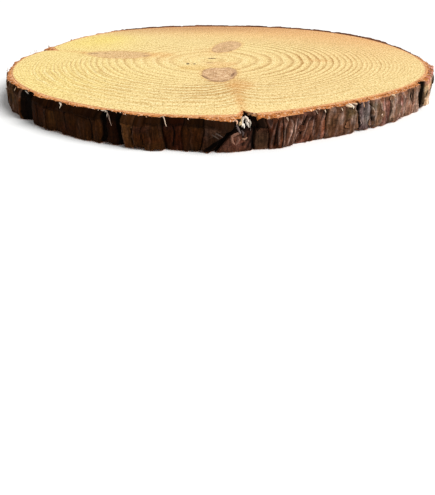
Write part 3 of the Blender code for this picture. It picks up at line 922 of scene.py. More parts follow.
def waves(rows, bearings, heights):
    """A sum of waves round the log: each is its height x sin(count x bearing + drift + phase), where
    the drift grows with the height on the wall.
    """
    turns = np.radians(bearings)
    lift = heights / THICKNESS
    total = 0.0
    for height, count, drift, phase in rows:
        total = total + height * np.sin(count * turns + drift * lift + phase)
    return total


def scar_relief(bearings, heights):
    """Lumps and hollows: each is a bell in bearing and in height."""
    levels = (THICKNESS - heights) / MM
    relief = np.zeros(np.shape(bearings))
    for centre, half_width, level, half_height, out in SCARS:
        across = away(bearings, centre) / half_width
        along = (levels - level) / half_height
        relief = relief + out * MM * np.exp(-across ** 2 - along ** 2)
    return relief


def bark_surface(tops, feet, stand_outs, heights):
    """Bearing and radius of the bark's outside for each column and height."""
    bearings = feet + (tops - feet) * heights / THICKNESS
    bearings = bearings + waves(WANDER_WAVES, bearings, heights)
    radius = lobed_radius(bearings, WOOD_RADIUS + BARK_THICKNESS, WOOD_LOBES + BARK_LOBES)
    radius = radius - valley_depth(bearings, HOLLOWS) + stand_outs
    radius = radius + MM * waves(SWELL_WAVES, bearings, heights) + scar_relief(bearings, heights)
    least = wood_radius(bearings) + BARK_GAP + THINNEST_BARK
    return bearings, np.maximum(radius, least)


def grain(bearings, heights, cells, rows, seed):
    """A smooth random field from 0 to 1 that closes round the log.

    It is a lattice of random values, so many cells round and so many up, eased between corners.
    """
    table = np.random.default_rng(seed).random((rows + 2, cells))
    across = (bearings % 360.0) / 360.0 * cells
    up = np.clip(heights / THICKNESS, 0.0, 1.0) * rows
    left = np.floor(across).astype(int) % cells
    low = np.floor(up).astype(int)
    right = (left + 1) % cells
    share = ease(0.0, 1.0, across - np.floor(across))
    lift = ease(0.0, 1.0, up - low)
    lower = table[low, left] * (1.0 - share) + table[low, right] * share
    upper = table[low + 1, left] * (1.0 - share) + table[low + 1, right] * share
    return lower * (1.0 - lift) + upper * lift


def around(bearings, cells, seed):
    """A smooth random field from 0 to 1 that changes only round the log."""
    return grain(bearings, 0.0 * bearings, cells, 1, seed)


def scale_edges():
    """Every edge of a scale: the front ones, and the others drawn by a rule round the back."""
    rng = random.Random(SCALE_SEED)
    edges = list(SCALE_EDGES)
    for _ in range(SCALE_COUNT):
        bearing = rng.uniform(*SCALE_BEARINGS)
        length = rng.uniform(*SCALE_LENGTHS)
        level = rng.uniform(0.5 - 0.4 * length, 21.5 - 0.6 * length)
        lean = rng.uniform(-SCALE_LEAN, SCALE_LEAN)
        points = []
        for step in range(6):
            down = length * step / 5
            waver = rng.uniform(-SCALE_WAVER, SCALE_WAVER)
            points.append((bearing + lean * down + waver, level + down))
        side = rng.choice((-1, 1))
        edges.append((side, rng.uniform(*SCALE_HEIGHTS), rng.uniform(*SCALE_HIGHLIGHTS), points))
    return edges


def scale_fields(bearings, heights):
    """Relief of scales and cracks, in metres, and the strength, from 0 to 1, of the painted highlight, the
    painted shade and the painted shade of the cracks.

    A scale rises in a short step at its edge and falls away behind it over a few millimetres; the
    edge is a thin line of painted highlight, with painted shade at its foot. Each fades out at the two ends
    of the edge.
    """
    relief, pale, shaded, crack_shade = np.zeros((4, *bearings.shape))
    levels = (THICKNESS - heights) / MM

    def beside_line(points):
        across, along = np.array(points).T
        near = np.abs(away(bearings[0], across.mean())) < LINE_REACH
        local = levels[:, near]
        line = np.interp(local, along, across)
        beside = np.radians(away(bearings[:, near], line)) * WOOD_RADIUS
        present = ease(along[0] - 0.4, along[0] + 1.2, local)
        present = present * ease(along[-1] + 0.4, along[-1] - 1.2, local)
        return near, beside, present

    for side, height, highlight_strength, points in scale_edges():
        near, beside, present = beside_line(points)
        beside = beside * side
        behind = np.exp(-(np.maximum(beside, 0.0) / SCALE_DECAY) ** 2)
        relief[:, near] += height * MM * present * ease(-0.5 * MM, 0.4 * MM, beside) * behind
        edge_line = np.exp(-((beside - 0.3 * MM) / SCALE_LINE) ** 2)
        pale[:, near] = np.maximum(pale[:, near], highlight_strength * present * edge_line)
        shade_line = np.exp(-((beside + 0.8 * MM) / (1.3 * SCALE_LINE)) ** 2)
        shaded[:, near] = np.maximum(shaded[:, near], min(1.0, height) * present * shade_line)
    uneven = 0.7 + 0.7 * grain(bearings, heights, 420, 9, 19)
    for half_width, depth, points in CRACKS:
        near, beside, present = beside_line(points)
        across = present * np.exp(-(beside / (half_width * MM * uneven[:, near])) ** 4)
        relief[:, near] -= depth * MM * across
        crack_shade[:, near] = np.maximum(crack_shade[:, near], across)
    return relief, pale, shaded, crack_shade


def lip(bearings, heights):
    """The hollow that runs under the rim, from 0 to 1: a bell in height, where scales broke off
    short. It is plainest along the front, and comes and goes further round.
    """
    present = 0.5 * ease(0.48, 0.72, around(bearings, 46, 33))
    front = ease(38.0, 30.0, np.abs(away(bearings, 250.0)))
    present = np.maximum(present, 0.4 * front * ease(0.15, 0.45, around(bearings, 60, 35)))
    middle = 1.4 + 1.8 * around(bearings, 110, 34)
    return present * np.exp(-(((THICKNESS - heights) / MM - middle) / 1.4) ** 2)


def roughness_of(bearings):
    """How lively the surface is: 1, but 0.4 on the smooth dark plates of the front left."""
    smooth = ease(214.0, 222.0, bearings % 360.0) * ease(284.0, 276.0, bearings % 360.0)
    return 1.0 - 0.60 * smooth


def bark_detail(bearings, heights):
    """Fine relief on the plates, in metres: lumps, fibres that run up, grit, and the hollow lip."""
    lumps = 1.1 * grain(bearings, heights, 110, 2, 4) + 0.5 * grain(bearings, heights, 240, 5, 5) - 0.80
    fibres = 0.4 * grain(bearings, heights, 560, 2, 6) - 0.20
    grit = 0.4 * grain(bearings, heights, 760, 20, 7) - 0.20
    return MM * (roughness_of(bearings) * (lumps + fibres + grit) - 0.7 * lip(bearings, heights))


def bark_tones(plates, columns, bearings, heights, raised, pale, shaded, crack_shade):
    """Linear colour of the bark's outside: the plate's tone, patches of others, streaks that run up,
    painted highlights on scale edges and raised parts, and painted shade, near black where it lies deep.
    """
    gap, number = columns[3], columns[4].astype(int)
    plate_tones = np.array([linear(plate[6]) for plate in plates])
    tones = np.broadcast_to(plate_tones[number], bearings.shape + (3,)).copy()
    lively = roughness_of(bearings)
    levels = (THICKNESS - heights) / MM

    def blend(share, target):
        nonlocal tones
        target = linear(target) if isinstance(target, str) else target
        tones = tones + np.clip(share, 0.0, 1.0)[..., None] * (target - tones)

    for bearing, half_width, level, half_height, code, strength in PATCHES:
        across = away(bearings, bearing) / half_width
        along = (levels - level) / half_height
        blend(strength * np.exp(-across ** 4 - along ** 4), code)
    for cells, rows, seed, hue in TINTS:
        blend(0.32 * ease(0.50, 0.85, grain(bearings, heights, cells, rows, seed)), tones * np.array(hue))
    streak = 0.55 * grain(bearings, heights, 520, 2, 15) + 0.45 * grain(bearings, heights, 900, 4, 16)
    cloud = 0.6 * grain(bearings, heights, 130, 4, 14) + 0.4 * grain(bearings, heights, 380, 12, 17)
    bright = np.exp(lively * (2.4 * (streak - 0.5) + 1.3 * (cloud - 0.5)))[..., None]
    grey = tones.mean(axis=-1, keepdims=True)
    tones = (tones + (grey - tones) * np.clip(0.45 * (bright - 1.0), 0.0, 0.45)) * bright
    # Painted shade at the foot of each scale's edge, and a painted highlight along the edge itself
    blend(0.85 * shaded, tones * 0.12)
    blend(pale, tones * 1.4 + 0.22 * lively[..., None] ** 2 * linear("f4dccb"))
    # Painted shade: the floors of the fissures and the cracks are near black
    blend(0.97 * ease(0.02, 0.14, gap) * np.ones_like(bearings), "0a0502")
    blend(0.95 * crack_shade, "080402")
    # Painted shade in the hollow under the rim
    blend(0.45 * lip(bearings, heights), tones * 0.3)
    # Round the back, the top of the bark is weathered to the brown of the rim above it
    far = ease(-4.0, 14.0, bearings - 360.0) * ease(150.0, 130.0, bearings - 360.0)
    blend(far * ease(4.0, 1.5, levels), "6b4632")
    # Painted shade on the top of the wall under the rounded shoulder
    shoulder = np.interp(bearings % 360.0, *np.array(SHOULDER).T)
    blend(1.7 * shoulder * np.exp(-(levels * MM / SHOULDER_DROP) ** 2), tones * 0.4)
    # Painted shade where the surface lies below the bare plate, and a painted highlight where it stands out
    # above it
    blend(0.6 * ease(0.2, -1.4, raised), tones * 0.25)
    blend(0.5 * ease(0.3, 1.4, raised), tones * 1.7)
    return tones


def rim_sink(bearings, share, row_seed, rim_seed):
    """How far a rim is sunk at a share of the way in from the outside, and how dark it is there.

    The outer edge is worn, torn fibres leave pits, and in places the rim is broken away. Only the
    upper rim has chips and the rounded shoulder, and is raised a little where it lies flat.
    """
    pits = 0.5 * around(bearings, 700, row_seed) + 0.5 * around(bearings, 260, row_seed + 9)
    ragged = around(bearings, 330, rim_seed + 7)
    shed = ease(0.60, 0.68, 0.7 * around(bearings, 90, rim_seed + 5) + 0.3 * ragged)
    wear = shed * ease(0.30, 0.18, share)
    firm = 0.0 * bearings
    for start, end, fade, outside, inside, flatness in WEATHERED_RIM:
        there = ease(start - fade, start + fade, bearings % 360.0)
        there = there * ease(end + fade, end - fade, bearings % 360.0)
        wear = np.maximum(wear, there * (inside + (outside - inside) * ease(0.7, 0.5, share)))
        firm = np.maximum(firm, there * flatness)
    worn = np.exp(-share * 5.0) * (0.5 * ragged + 1.2 * shed)
    sunk = MM * (worn + pits * (1.0 - share) * 0.5 + 0.05) * (1.0 - 0.9 * firm)
    if rim_seed == LOW_RIM_SEED:
        return sunk, wear
    shoulder = np.interp(bearings % 360.0, *np.array(SHOULDER).T) + 0.12 * (ragged - 0.5)
    present = ease(0.05, 0.20, shoulder)
    rounded = np.clip(1.0 - share / np.maximum(shoulder, 0.05), 0.0, 1.0) ** 1.5
    sunk = sunk - FLAT_RISE * firm + SHOULDER_DROP * present * rounded
    wear = np.maximum(wear, present * ease(0.06, -0.04, share - shoulder))
    for bearing, half_width, depth, reach in RIM_CHIPS:
        across = np.abs(away(bearings, bearing)) / half_width
        bite = ease(1.15, 0.85, across + 0.6 * (ragged - 0.5))
        bite = bite * ease(reach + 0.08, reach - 0.08, share + 0.25 * (ragged - 0.5))
        sunk = sunk + depth * MM * bite
        wear = np.maximum(wear, bite)
    return sunk, wear


def build_bark(finishes):
    """The ring: its outside wall from the columns, two sawn rims with crumbled edges, and its inside.

    A rim point is a share of the way from the outside wall in to the wood, sunk by its crumbling.
    """
    plates = all_plates()
    columns = refined(bark_columns(plates))
    count = columns.shape[1]
    heights = THICKNESS * np.linspace(0.0, 1.0, FINE_ROWS)[:, None]
    bearings, bare = bark_surface(*columns[:3], heights)
    levels = heights + np.zeros_like(bearings)
    for cells, rows, seed, waver in PLATE_WAVERS:
        bearings = bearings + waver * (grain(bearings, levels, cells, rows, seed) - 0.5)
    inner = wood_radius(bearings) + BARK_GAP
    relief, pale, shaded, crack_shade = scale_fields(bearings, levels)
    on_plate = 1.0 - 0.7 * columns[3]
    detail = bark_detail(bearings, levels) + (relief - RELIEF_SUNK) * on_plate
    radius = np.maximum(bare + detail, inner + LEAST_BARK[0] * THINNEST_BARK)
    chips = ease(0.50, 0.85, around(bearings, 640, 8))
    near_rim = np.exp(-np.minimum(levels, THICKNESS - levels) / CHIP_FADE)
    chipped = radius - CHIP_DEPTH * chips * near_rim
    radius = np.maximum(chipped, inner + LEAST_BARK[1] * THINNEST_BARK)
    raised = (radius - bare) / MM
    wall_tones = bark_tones(plates, columns, bearings, levels, raised, pale, shaded, crack_shade)

    # The wall's last rows of points sink with the rims, so that no step is left between them
    shares = np.linspace(0.0, 1.0, RIM_ROWS + 1)[1:]
    rims = []
    wears = []
    wall_levels = levels.copy()
    lift = heights / THICKNESS
    for row, sign, seed, nearness in (
        (0, -1.0, LOW_RIM_SEED, 1.0 - lift),
        (-1, 1.0, TOP_RIM_SEED, lift),
    ):
        edge_sunk, edge_wear = rim_sink(bearings[row], 0.0, seed, seed)
        wall_levels = wall_levels - sign * ease(WALL_SINK, 1.0, nearness) * edge_sunk
        rim_bearings = np.repeat(bearings[row][None, :], RIM_ROWS, axis=0)
        rim_radius = radius[row] + (inner[row] - radius[row]) * shares[:, None]
        rings = [rim_sink(bearings[row], share, seed + n, seed) for n, share in enumerate(shares)]
        sunk, wear = zip(*rings)
        rims.append((rim_bearings, rim_radius, levels[row] - sign * np.stack(sunk)))
        wears += [edge_wear, np.concatenate(wear)]

    points = []
    for row_bearings, row_radius, row_levels in [(bearings, radius, wall_levels)] + rims:
        plan = plan_points(row_bearings, row_radius) + LOG_AXIS
        points.append(np.concatenate([plan, row_levels[..., None]], axis=-1).reshape(-1, 3))
    wall_size = FINE_ROWS * count
    rim_size = RIM_ROWS * count
    ring = np.arange(count)
    rim = wall_size + np.arange(rim_size)
    low_rows = np.concatenate([ring, rim])
    top_rows = np.concatenate([wall_size - count + ring, rim_size + rim])
    rim_grid = grid_quads(RIM_ROWS + 1, count)
    inner_low = low_rows[-count:]
    inner_top = top_rows[-count:]
    inside = np.column_stack([inner_low, inner_top, np.roll(inner_top, -1), np.roll(inner_low, -1)])
    face_sets = [grid_quads(FINE_ROWS, count), low_rows[rim_grid][:, ::-1], top_rows[rim_grid], inside]

    rim_tones = [np.repeat(wall_tones[row][None], RIM_ROWS, axis=0).reshape(-1, 3) for row in (0, -1)]
    wall_wear = np.concatenate([wears[0], np.zeros(wall_size - 2 * count), wears[2]])
    fields = {
        "bark_tone": np.concatenate([wall_tones.reshape(-1, 3)] + rim_tones),
        "rim_share": np.concatenate([np.zeros(wall_size)] + [np.repeat(shares, count)] * 2),
        "rim_wear": np.concatenate([wall_wear, wears[1], wears[3]]),
    }
    return add_mesh("bark_ring", np.concatenate(points), face_sets, fields, finishes, (0, 1, 1, 0), 50.0)


def weathered_pine_bark():
    """Dry pine bark, weathered: matt and rough, near-black brown to grey-brown, with painted highlights
    where its edges stand out and painted shade in its hollows.

    Its tones come with the mesh, and fibres about half a millimetre wide run up the log.
    """
    matt = {"Roughness": 0.9, "Specular IOR Level": 0.04}
    finish, tree, shader = new_finish("weathered pine bark", matt)
    place = add_node(tree, "TexCoord", output="Object")
    colour = add_node(tree, "Attribute", attribute_name="bark_tone")
    upright = add_node(tree, "Mapping", {"Vector": place, "Scale": (1.0, 1.0, 0.12)})
    # Vector, size in mm, detail, and the factor on the tone at the noise's low and high end
    for vector, size, detail, least, most in (
        (upright, 1.2, 3.0, 0.60, 1.42),
        (place, 3.0, 4.0, 0.78, 1.22),
        (place, 1.1, 2.0, 0.70, 1.32),
    ):
        noise = add_node(tree, "TexNoise", {
            "Vector": vector, "Scale": 1.0 / (size * MM), "Detail": detail, "Roughness": 0.65})
        factor = add_node(tree, "MapRange", {0: noise, 1: 0.30, 2: 0.70, 3: least, 4: most}, **SMOOTH)
        colour = add_node(tree, "HueSaturation", {"Color": colour, "Value": factor})
    tree.links.new(colour, shader.inputs["Base Color"])
    fibre = add_node(tree, "TexNoise", {"Vector": upright, "Scale": 1.0 / (0.9 * MM), "Detail": 4.0})
    bump = add_node(tree, "Bump", {"Height": fibre, "Strength": 0.5, "Distance": 0.5 * MM})
    tree.links.new(bump, shader.inputs["Normal"])
    return finish


def sawn_bark_edge():
    """The sawn edge of the bark: rust-brown cork in thin layers, torn rough by the saw, with pale
    crumbs, a straw line of inner bark against the wood, and a paler frayed outer edge.
    """
    matt = {"Roughness": 0.88, "Specular IOR Level": 0.02}
    finish, tree, shader = new_finish("sawn bark edge", matt)
    place = add_node(tree, "TexCoord", output="Object")
    tone = add_node(tree, "Attribute", attribute_name="bark_tone")
    share_in = add_node(tree, "Attribute", output="Fac", attribute_name="rim_share")
    wear = add_node(tree, "Attribute", output="Fac", attribute_name="rim_wear")
    noises = []
    # Size in mm, and detail
    for size, detail in ((3.0, 3.0), (14.0, 2.0), (1.9, 3.0), (1.4, 2.0), (1.4, 4.0)):
        noises.append(add_node(tree, "TexNoise", {
            "Vector": place, "Scale": 1.0 / (size * MM), "Detail": detail}))
    torn, clouds, pits, crumbs, rough = noises
    depth = add_node(tree, "Math", {0: torn, 1: 0.6, 2: share_in}, operation="MULTIPLY_ADD")
    wear = add_node(tree, "Math", {0: torn, 1: 0.8, 2: wear}, operation="MULTIPLY_ADD")
    colour = add_node(tree, "Mix", {0: torn, 6: "9f5a2b", 7: "cf8649"}, **MIX)
    colour = layered(tree, colour, (
        (clouds, 0.45, 0.65, 0.40, "d8965a"),
        (pits, 0.49, 0.34, 0.85, "6e3416"),
        (depth, 0.48, 0.30, 0.45, "d49c7e"),
        (depth, 0.92, 1.22, 0.85, "e8ab74"),
        (crumbs, 0.56, 0.66, 0.85, "edc4a0"),
        (wear, 0.80, 0.95, 1.00, tone),
    ))
    tree.links.new(colour, shader.inputs["Base Color"])
    bump = add_node(tree, "Bump", {"Height": rough, "Strength": 0.9, "Distance": 0.8 * MM})
    tree.links.new(bump, shader.inputs["Normal"])
    return finish


bark_ring = build_bark((weathered_pine_bark(), sawn_bark_edge()))
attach(bark_ring, "root")
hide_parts("bark")

# Torn fibres: slivers of pale inner bark that the saw left standing under the rim, a frayed tuft in
# the hollow of the folded scar, and the curl of bark that grew over it.
# Each: half-width and how far its end stands out, in millimetres, tone, and points along it as
# bearing and level below the top
SLIVERS = (
    (1.0, 0.8, "e6d3bd", ((230.0, -0.4), (230.5, 1.0), (231.0, 2.6))),
    (0.4, 0.6, "9a8070", ((242.7, 0.2), (243.9, 0.2), (244.9, 2.1), (245.4, 4.7), (245.9, 7.9))),
    (0.7, 0.5, "ecd9c4", ((242.6, -0.2), (243.4, 0.4), (244.2, 1.2), (244.7, 2.6))),
    (0.5, 0.7, "d9bda4", ((257.0, -0.2), (257.7, 0.4), (258.1, 2.3), (258.6, 5.6))),
    (0.7, 0.5, "b0a396", ((214.9, -0.2), (215.9, 0.2), (216.9, 0.9))),
    (0.8, 0.5, "dcc0a0", ((302.6, 0.2), (303.6, 1.3), (304.8, 2.6))),
    (0.8, 0.6, "ead8c0", ((303.6, -0.1), (304.6, 1.0), (305.4, 2.9), (305.2, 3.8))),
    (0.6, 0.5, "d9bb9c", ((305.0, 0.0), (306.1, 0.8), (306.6, 1.9))),
    (0.8, 0.5, "d8b896", ((318.6, 0.0), (319.4, 0.6), (319.9, 1.6))),
    (0.5, 0.4, "b99c86", ((294.0, 1.0), (294.4, 2.0), (294.5, 3.4))),
    (0.5, 0.4, "b99c86", ((285.3, 1.4), (285.7, 2.4), (285.8, 3.8))),
    (0.9, 0.5, "d7a98a", ((272.9, 0.2), (273.6, 0.4), (274.0, 2.0), (273.9, 3.2))),
    (1.2, 0.6, "d9bd92", ((275.2, 0.6), (274.7, 2.4), (274.4, 4.4))),
    (1.1, 0.8, "f4e3cf", ((275.7, 0.4), (275.4, 2.4), (275.1, 5.2))),
    (1.2, 0.8, "fbf1e2", ((275.1, 3.4), (275.5, 5.0), (275.7, 7.0))),
    (0.9, 1.0, "efdccb", ((275.9, 0.0), (276.5, 1.6), (276.9, 4.0))),
    (0.9, 1.0, "f6e9da", ((276.3, 2.6), (276.5, 4.8), (276.9, 7.2))),
    (0.7, 1.0, "cfc1ae", ((277.0, 2.6), (277.3, 5.0), (277.1, 8.0))),
    (1.0, 1.2, "6d5f5c", ((273.8, 3.6), (274.1, 5.6), (274.7, 8.6))),
    (0.9, 1.2, "4e413e", ((274.9, 7.4), (275.3, 9.0), (275.2, 10.6))),
    (0.5, 0.4, "5d4e46", ((269.3, 7.4), (270.0, 8.8), (270.9, 10.4))),
    (0.5, 0.4, "57483f", ((268.6, 8.9), (269.3, 10.3), (270.1, 11.7))),
    (1.1, 0.8, "86604f", ((274.8, 8.6), (273.7, 8.9), (272.9, 10.6), (272.8, 13.0), (273.4, 15.6))),
    (1.0, 0.8, "785446", ((274.0, 10.8), (274.3, 12.4), (274.0, 14.6), (273.6, 16.4))),
    (0.8, 0.6, "8d6a55", ((275.0, 12.6), (275.6, 13.2), (276.1, 13.0), (276.2, 12.2))),
)
# The rule for the other slivers: how many, the bearings they hang between, their lengths and
# half-widths in millimetres, and tones
SLIVER_SEED = 4
SLIVER_COUNT = 44
SLIVER_BEARINGS = (296.0, 570.0)
SLIVER_LENGTHS = (1.4, 4.0)
SLIVER_HALF_WIDTHS = (0.25, 0.55)
SLIVER_TONES = ("d9b896", "c89a78", "a87450", "8a5a3c", "ead0b4", "6a4632")
SLIVER_STEPS = 7
# How far a sliver lies off the bark, in millimetres. It bridges a hollow: it never lies further in than
# the second of these from the wood's even outline. Its section is flatter than it is wide
SLIVER_OFF = 0.1
BRIDGE = 5.0 * MM
SLIVER_FLATNESS = 0.6
# How far slivers and crumbs stand above the sawn face at most
HIGHEST = 0.3 * MM
# Crumbs of cork on the sawn rim: how many, their sizes in millimetres, and tones
CRUMB_COUNT = 340
CRUMB_SIZES = (0.25, 0.62)
CRUMB_TONES = ("f0d0b2", "dba47c", "c58a5c", "b06a3a", "7a4526", "c98a60", "4a2814")
# Crumbs lie only between these bearings: the rest of the rim has weathered smooth. They keep clear of
# both edges of the rim, and are sunk in it by a share of their size
CRUMB_BEARINGS = (190.0, 366.0)
CRUMB_MARGIN = 0.4 * MM
CRUMB_SUNK = 0.35
# Scales that lift off the bark: how many, their bearings, widths, heights and lift in millimetres
FLAKE_COUNT = 60
FLAKE_BEARINGS = (284.0, 572.0)
FLAKE_WIDTHS = (2.4, 6.0)
FLAKE_HEIGHTS = (4.0, 11.0)
FLAKE_LIFTS = (0.4, 1.0)
FLAKE_GRID = (7, 6)
FLAKE_THICKNESS = 0.45 * MM
# How far flakes stay from the foot and the top of the wall, and how deep they are held in it
FLAKE_MARGINS = (1.0 * MM, 1.5 * MM)
FLAKE_HELD = 0.1 * MM
# The radius of the finished bark is felt for from here, and at no height nearer to the foot and the
# top of the wall than this
PROBE_START = 0.3
PROBE_MARGINS = (0.8 * MM, 1.2 * MM)


def bark_probe():
    """A function that gives the radius of the finished bark's outside at a bearing and a height.

    It sends a ray level from outside to the log's axis, and keeps within the height of the wall.
    """
    mesh = bark_ring.data
    corners = [face.vertices[:] for face in mesh.polygons]
    tree = BVHTree.FromPolygons([vertex.co for vertex in mesh.vertices], corners)

    def probe(bearing, height):
        turn = math.radians(bearing)
        out = np.array([math.cos(turn), math.sin(turn)])
        level = min(max(height, PROBE_MARGINS[0]), THICKNESS - PROBE_MARGINS[1])
        start = LOG_AXIS + PROBE_START * out
        return PROBE_START - tree.ray_cast((*start, level), (*-out, 0.0))[3]
    return probe


def sliver_points(path, half_width, stand_out):
    """Corners of one sliver: a diamond section drawn along a path on the bark, thin at both ends.

    It is widest near its middle, and stands out by its share of the way along, squared.
    """
    path = np.array(path)
    known = np.linspace(0.0, 1.0, len(path))
    steps = np.linspace(0.0, 1.0, SLIVER_STEPS)
    bearings = np.interp(steps, known, path[:, 0])
    heights = THICKNESS - np.interp(steps, known, path[:, 1]) * MM
    turns = np.radians(bearings)
    radius = np.array([outside(*at) for at in zip(bearings, heights)])
    least = lobed_radius(bearings, WOOD_RADIUS, WOOD_LOBES) + BRIDGE
    radius = np.maximum(radius, least) + (SLIVER_OFF + stand_out * steps ** 2) * MM
    centre = np.column_stack([plan_points(bearings, radius) + LOG_AXIS, heights])
    radial = np.column_stack([np.cos(turns), np.sin(turns), 0.0 * turns])
    along = np.gradient(centre, axis=0)
    along = along / np.linalg.norm(along, axis=1, keepdims=True)
    side = np.cross(along, radial)
    width = half_width * MM * (0.25 + 0.75 * np.sin(np.pi * np.clip(steps * 0.85 + 0.12, 0.0, 1.0)))
    side = side * width[:, None]
    front = SLIVER_FLATNESS * radial * width[:, None]
    corners = np.stack([centre + side, centre + front, centre - side, centre - front], axis=1)
    corners = corners.reshape(-1, 3)
    corners[:, 2] = np.minimum(corners[:, 2], THICKNESS + HIGHEST)
    return corners


def build_slivers(finish):
    """All the slivers as one mesh: those of the table, and the seeded ones all round under the rim."""
    rng = random.Random(SLIVER_SEED)
    rows = list(SLIVERS)
    for _ in range(SLIVER_COUNT):
        bearing = rng.uniform(*SLIVER_BEARINGS)
        length = rng.uniform(*SLIVER_LENGTHS)
        start = rng.uniform(0.3, 1.2)
        lean = rng.uniform(-0.5, 0.5)
        bend = (bearing + 0.5 * lean, start + 0.4 * length)
        path = ((bearing, start), bend, (bearing + lean, start + length))
        half_width = rng.uniform(*SLIVER_HALF_WIDTHS)
        rows.append((half_width, rng.uniform(0.1, 0.5), rng.choice(SLIVER_TONES), path))
    # Painted shade: each sliver is darker at its root against the bark and paler towards its free end
    shade = np.linspace(0.75, 1.05, SLIVER_STEPS).repeat(4)[:, None]
    points = []
    tones = []
    faces = []
    for number, (half_width, stand_out, code, path) in enumerate(rows):
        corners = sliver_points(path, half_width, stand_out)
        first = number * len(corners)
        points.append(corners)
        tones.append(linear(code) * shade)
        ends = np.array([[3, 2, 1, 0], [-4, -3, -2, -1]]) + np.array([[0], [len(corners)]])
        faces += [grid_quads(SLIVER_STEPS, 4, first), first + ends]
    fields = {"bit_tone": np.concatenate(tones)}
    return add_mesh("torn_fibres", np.concatenate(points), faces, fields, (finish,))


def build_crumbs(finish):
    """Crumbs on the sawn rim: small lopsided octahedra, strewn by a rule over its whole width."""
    rng = np.random.default_rng(SLIVER_SEED)
    bearings = rng.uniform(*CRUMB_BEARINGS, CRUMB_COUNT)
    share = rng.random(CRUMB_COUNT) ** 1.4
    size = rng.uniform(*CRUMB_SIZES, CRUMB_COUNT) * MM
    outer = np.array([outside(bearing, THICKNESS) for bearing in bearings]) - CRUMB_MARGIN
    inner = wood_radius(bearings) + BARK_GAP + CRUMB_MARGIN
    plan = plan_points(bearings, outer + (inner - outer) * share) + LOG_AXIS
    middles = np.column_stack([plan, THICKNESS - CRUMB_SUNK * size])
    ends = np.array([[1, 0, 0], [0, 1, 0], [-1, 0, 0], [0, -1, 0], [0, 0, 1], [0, 0, -1]], float)
    spread = rng.uniform(0.6, 1.3, (CRUMB_COUNT, 6, 1)) * ends
    spread = spread + rng.uniform(-0.25, 0.25, (CRUMB_COUNT, 6, 3))
    points = middles[:, None, :] + spread * size[:, None, None]
    points[..., 2] = np.minimum(points[..., 2], THICKNESS + HIGHEST)
    corners = [(0, 1, 4), (1, 2, 4), (2, 3, 4), (3, 0, 4), (1, 0, 5), (2, 1, 5), (3, 2, 5), (0, 3, 5)]
    faces = (np.arange(CRUMB_COUNT)[:, None, None] * 6 + np.array(corners)).reshape(-1, 3)
    codes = np.array([linear(code) for code in CRUMB_TONES])
    fields = {"bit_tone": codes[rng.integers(0, len(codes), CRUMB_COUNT)].repeat(6, axis=0)}
    return add_mesh("rim_crumbs", points.reshape(-1, 3), [faces], fields, (finish,), crease=20.0)


def build_flakes(finish):
    """Thin scales, each a curved sheet held along one upright edge, its other edge lifted off.

    The lift grows with the square of the distance from the held edge, and the outline is uneven.
    """
    rng = np.random.default_rng(SLIVER_SEED + 1)
    rows, columns = FLAKE_GRID
    size = rows * columns
    up, across = np.meshgrid(np.linspace(-1.0, 1.0, rows), np.linspace(0.0, 1.0, columns), indexing="ij")
    sheet = np.arange(size).reshape(rows, columns)
    quads = np.stack([sheet[:-1, :-1], sheet[:-1, 1:], sheet[1:, 1:], sheet[1:, :-1]], axis=-1)
    quads = quads.reshape(-1, 4)
    border = np.concatenate([sheet[0, :-1], sheet[:-1, -1], sheet[-1, :0:-1], sheet[:0:-1, 0]])
    following = np.roll(border, -1)
    edge = np.column_stack([border, following, following + size, border + size])
    points = []
    tones = []
    faces = []
    for number in range(FLAKE_COUNT):
        bearing = rng.uniform(*FLAKE_BEARINGS)
        width = rng.uniform(*FLAKE_WIDTHS) * MM
        height = rng.uniform(*FLAKE_HEIGHTS) * MM
        lift = rng.uniform(*FLAKE_LIFTS) * MM
        lowest = 0.5 * height + FLAKE_MARGINS[0]
        middle = rng.uniform(lowest, THICKNESS - 0.5 * height - FLAKE_MARGINS[1])
        side = rng.choice((-1.0, 1.0))
        ragged = 1.0 + 0.25 * np.interp(up, np.linspace(-1.0, 1.0, 5), rng.uniform(-1.0, 1.0, 5))
        reach = across * width * ragged * np.sqrt(np.clip(1.15 - up ** 2, 0.1, 1.0))
        heights = middle + 0.5 * height * up * (1.0 - 0.25 * across)
        bearings = bearing + side * np.degrees(reach / WOOD_RADIUS)
        bare = np.array([outside(*at) for at in zip(bearings.ravel(), heights.ravel())])
        bare = bare.reshape(rows, columns)
        radius = bare[:, :1] * (1.0 - across) + bare.max(axis=1, keepdims=True) * across
        radius = np.maximum(radius, bare) - FLAKE_HELD + lift * across ** 2
        for layer_radius in (radius, radius - FLAKE_THICKNESS):
            plan = plan_points(bearings, layer_radius) + LOG_AXIS
            points.append(np.concatenate([plan, heights[..., None]], axis=-1).reshape(-1, 3))
        near = bark_tones_at(bearing)
        # Painted light: a flake is paler towards its lifted edge, and the sheet under it is painted dark as
        # shade
        light = (0.85 + 0.75 * roughness_of(bearing) ** 2 * across ** 3).reshape(-1, 1)
        tones += [near * light, near * 0.3 * np.ones((size, 1))]
        first = number * 2 * size
        turn = -1 if side > 0.0 else 1
        faces += [first + quads[:, ::-turn], first + size + quads[:, ::turn], first + edge[:, ::turn]]
    fields = {"bark_tone": np.concatenate(tones)}
    return add_mesh("lifted_scales", np.concatenate(points), faces, fields, (finish,))


def bark_tones_at(bearing):
    """Linear tone of the plate of bark at a bearing, or the first of the tones over a fissure."""
    for plate in all_plates():
        if any(plate[0] <= bearing + turn <= plate[1] for turn in (-360.0, 0.0, 360.0)):
            return linear(plate[6])
    return linear(PLATE_TONES[0])


